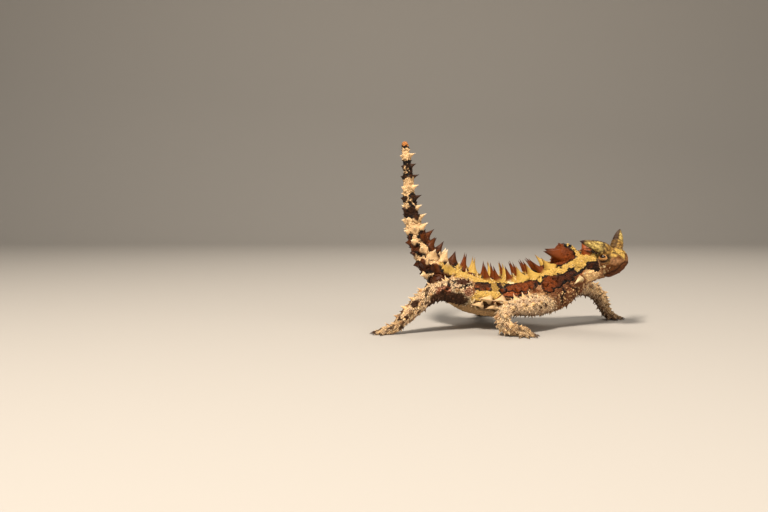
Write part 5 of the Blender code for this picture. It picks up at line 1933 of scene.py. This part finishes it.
def marked(name, roughness, grain, bump):
    """Skin and coat: the ground colour, then black edge and colour inside each patch.

    An attribute darkens what lies between the scales with painted shade, and fine grain breaks the
    colour up.
    """
    tones = devil_tones()
    material = plain(name, tones["cream"], roughness, 1.45, DRY_SHINE)
    tree = material.node_tree
    shader = tree.nodes["Principled BSDF"]
    names = ("ground", "patch_colour", "patch", "unshaded")
    read = {name: add(tree, "Attribute", attribute_name=name).outputs for name in names}
    ground, patch_colour = read["ground"]["Color"], read["patch_colour"]["Color"]
    patch, unshaded = read["patch"]["Fac"], read["unshaded"]["Fac"]
    place_ = add(tree, "TexCoord").outputs["Object"]
    noise = add(tree, "TexNoise", {"Vector": place_, "Scale": grain, "Detail": 3.0})
    edge = ranged(tree, patch, -EDGE_SOFT, EDGE_SOFT)
    core = ranged(tree, patch, EDGE_INNER, EDGE_CORE)
    glow = grey(tree, ranged(tree, patch, *PATCH_GLOW))
    black = (*tones["black"], 1.0)
    inside = mixed(tree, black, mixed(tree, patch_colour, glow, 1.0, "MULTIPLY"), core)
    colour = mixed(tree, ground, inside, edge)
    # Painted shade: the colour darkened between the scales, then mixed back by the stored share.
    dark = mixed(tree, colour, SHADE_BETWEEN_SCALES, 1.0, "MULTIPLY")
    colour = mixed(tree, dark, colour, unshaded)
    speck = grey(tree, ranged(tree, noise.outputs[0], *GRAIN_SPECKS))
    colour = mixed(tree, colour, speck, 1.0, "MULTIPLY")
    tree.links.new(colour, shader.inputs["Base Color"])
    if bump:
        height = {"Height": noise.outputs[0], "Strength": bump, "Distance": GRAIN_HEIGHT}
        tree.links.new(add(tree, "Bump", height).outputs[0], shader.inputs["Normal"])
    return material


def finish_piece(piece, material, slot, replaced=()):
    """Gives a piece its material, ties it to the body and hides the solid parts it replaces; its
    slot is not used.
    """
    piece.data.materials.append(material)
    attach(piece, "root")
    if replaced:
        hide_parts(*replaced)


FLESH = ["head", "neck", "trunk", "nape_hump", "tail_base", "tail_middle", "tail_end"]
FLESH += [
    f"{part}_{side}"
    for part in ("upper_arm", "forearm", "hand", "thigh", "shank", "foot")
    for side in ("left", "right")
]

# ---------------------------------------------------------------- operators


class DEVIL_OT_skin(bpy.types.Operator):
    """Build the one skin over tail, trunk, neck, head and limbs."""

    bl_idname = "devil.skin"
    bl_label = "Skin"

    def execute(self, context):
        # Dry, finely grained skin: dull, with a weak sheen between the scales.
        skin = make_skin()
        finish_piece(skin, marked("reptile_skin", 0.62, 2200.0, 0.35), "body_skin", FLESH)
        return {"FINISHED"}


class DEVIL_OT_scales(bpy.types.Operator):
    """Cover the skin with bead-like scales and small spikes."""

    bl_idname = "devil.scales"
    bl_label = "Scales"

    def execute(self, context):
        # Each scale is a little smoother than the skin, so its top catches the light.
        material = marked("beaded_scales", 0.55, 2600.0, 0.0)
        for piece, slot in make_scales():
            finish_piece(piece, material, slot)
        return {"FINISHED"}


class DEVIL_OT_thorns(bpy.types.Operator):
    """Set the big thorns in their rows and rings."""

    bl_idname = "devil.thorns"
    bl_label = "Thorns"

    def execute(self, context):
        # Worn keratin: a soft shine along the flanks of each thorn.
        material = marked("thorn_keratin", 0.48, 1500.0, 0.3)
        for piece, slot in make_thorns():
            finish_piece(piece, material, slot)
        return {"FINISHED"}


class DEVIL_OT_horns(bpy.types.Operator):
    """Build the horn over each eye."""

    bl_idname = "devil.horns"
    bl_label = "Horns"

    def execute(self, context):
        # Ridged horn, banded in brown and yellow.
        material = marked("horn_keratin", 0.5, 1800.0, 0.4)
        for horn, word in make_horns():
            finish_piece(horn, material, "horn", ["horn_" + word])
        return {"FINISHED"}


class DEVIL_OT_eyes(bpy.types.Operator):
    """Build the eyeballs and their lids."""

    bl_idname = "devil.eyes"
    bl_label = "Eyes"

    def execute(self, context):
        # A wet, clear-coated ball, so that one sharp highlight makes it read as an eye.
        glossy = plain("wet_eye", (0, 0, 0), 0.06, 1.38)
        ground = add(glossy.node_tree, "Attribute", attribute_name="ground").outputs["Color"]
        shader = glossy.node_tree.nodes["Principled BSDF"]
        glossy.node_tree.links.new(ground, shader.inputs["Base Color"])
        for eye, word in make_eyeballs():
            finish_piece(eye, glossy, "eye", ["eye_" + word])
        # Finely beaded lids, softer and warmer than the face.
        folded = marked("eyelid_skin", 0.55, 3000.0, 0.4)
        for lids, word in make_lids():
            finish_piece(lids, folded, "head_skin")
        return {"FINISHED"}


class DEVIL_OT_claws(bpy.types.Operator):
    """Build the claws of all hands and feet."""

    bl_idname = "devil.claws"
    bl_label = "Claws"

    def execute(self, context):
        # Dark, smooth claws.
        claws = make_claws()
        finish_piece(claws, plain("dark_claw", devil_tones()["claw"], 0.35, 1.54), "limb_skin")
        return {"FINISHED"}


def soft_lamp(name, spot, target, power, across):
    """A square area lamp that points at a target; places and sizes in metres."""
    lamp = bpy.data.lights.new(name, "AREA")
    lamp.energy = power
    lamp.color = linear(LAMP_TINT)[:3]
    lamp.size = across
    piece = linked(name, lamp)
    piece.location = spot
    piece.rotation_euler = (Vector(target) - Vector(spot)).to_track_quat("-Z", "Y").to_euler()


def make_floor():
    """A pale floor that curves up into a backdrop: one profile carried across."""
    turn = np.linspace(0, math.pi / 2, 24)
    bend = np.stack([FLOOR_BACK + FLOOR_BEND * np.sin(turn), FLOOR_BEND * (1 - np.cos(turn))], -1)
    profile = np.vstack([[FLOOR_FRONT, 0], bend, [bend[-1, 0], FLOOR_TOP]])
    across = np.linspace(-FLOOR_HALF, FLOOR_HALF, 3)
    grid = np.zeros((len(profile), len(across), 3))
    grid[..., 0] = across
    grid[..., 1:] = profile[:, None]
    rows, columns = grid.shape[:2]
    k = (np.arange(rows - 1)[:, None] * columns + np.arange(columns - 1)).ravel()
    faces = np.stack([k, k + 1, k + columns + 1, k + columns], -1)
    mesh = bpy.data.meshes.new("studio_floor")
    mesh.from_pydata(grid.reshape(-1, 3).tolist(), [], faces.tolist())
    mesh.shade_smooth()
    mesh.materials.append(plain("pale_floor", linear("#B4AFA8"), 0.8))
    return linked("studio_floor", mesh)


class DEVIL_OT_stage(bpy.types.Operator):
    """Set up the floor, the soft lights and the camera."""

    bl_idname = "devil.stage"
    bl_label = "Stage"

    def execute(self, context):
        scene = context.scene
        scene.view_settings.view_transform = "Standard"
        make_floor()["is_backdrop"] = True
        for lamp in LAMPS:
            soft_lamp(*lamp)
        world = bpy.data.worlds.new("studio_world")
        world.use_nodes = True
        background = world.node_tree.nodes["Background"]
        background.inputs["Color"].default_value = linear("#F0ECE6")
        background.inputs["Strength"].default_value = WORLD_STRENGTH
        scene.world = world
        camera = bpy.data.cameras.new("camera")
        camera.lens = CAMERA_LENS
        camera.clip_start = 0.01
        eye = linked("camera", camera)
        eye.location = CAMERA_PLACE
        eye.rotation_euler = (math.radians(90 - CAMERA_DOWN), 0, 0)
        scene.camera = eye
        return {"FINISHED"}


class DEVIL_PT_panel(bpy.types.Panel):
    """Lists the sizes, the colours and a button for every step."""

    bl_idname = "DEVIL_PT_panel"
    bl_label = "Thorny devil"
    bl_space_type = "VIEW_3D"
    bl_region_type = "UI"
    bl_category = "Devil"

    def draw(self, context):
        for step in STEPS:
            self.layout.operator(step.bl_idname)
        for group in (context.scene.devil_sizes, context.scene.devil_colours):
            column = self.layout.column()
            for name in type(group).__annotations__:
                column.prop(group, name)


STEPS = (
    DEVIL_OT_skin,
    DEVIL_OT_scales,
    DEVIL_OT_thorns,
    DEVIL_OT_horns,
    DEVIL_OT_eyes,
    DEVIL_OT_claws,
    DEVIL_OT_stage,
)
CLASSES = (DevilSizes, DevilColours, *STEPS, DEVIL_PT_panel)


def register():
    """Adds the properties, the operators and the panel."""
    for kind in CLASSES:
        bpy.utils.register_class(kind)
    bpy.types.Scene.devil_sizes = PointerProperty(type=DevilSizes)
    bpy.types.Scene.devil_colours = PointerProperty(type=DevilColours)


def unregister():
    """Takes them away again."""
    del bpy.types.Scene.devil_colours
    del bpy.types.Scene.devil_sizes
    for kind in reversed(CLASSES):
        bpy.utils.unregister_class(kind)


def main():
    """Runs every step in order."""
    register()
    bpy.ops.devil.skin()
    bpy.ops.devil.scales()
    bpy.ops.devil.thorns()
    bpy.ops.devil.horns()
    bpy.ops.devil.eyes()
    bpy.ops.devil.claws()
    bpy.ops.devil.stage()
    boxes = {"cad": CAD_BOX, "visual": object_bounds()}
    plain_boxes = {key: [list(corner) for corner in box] for key, box in boxes.items()}


if __name__ == "__main__":
    main()
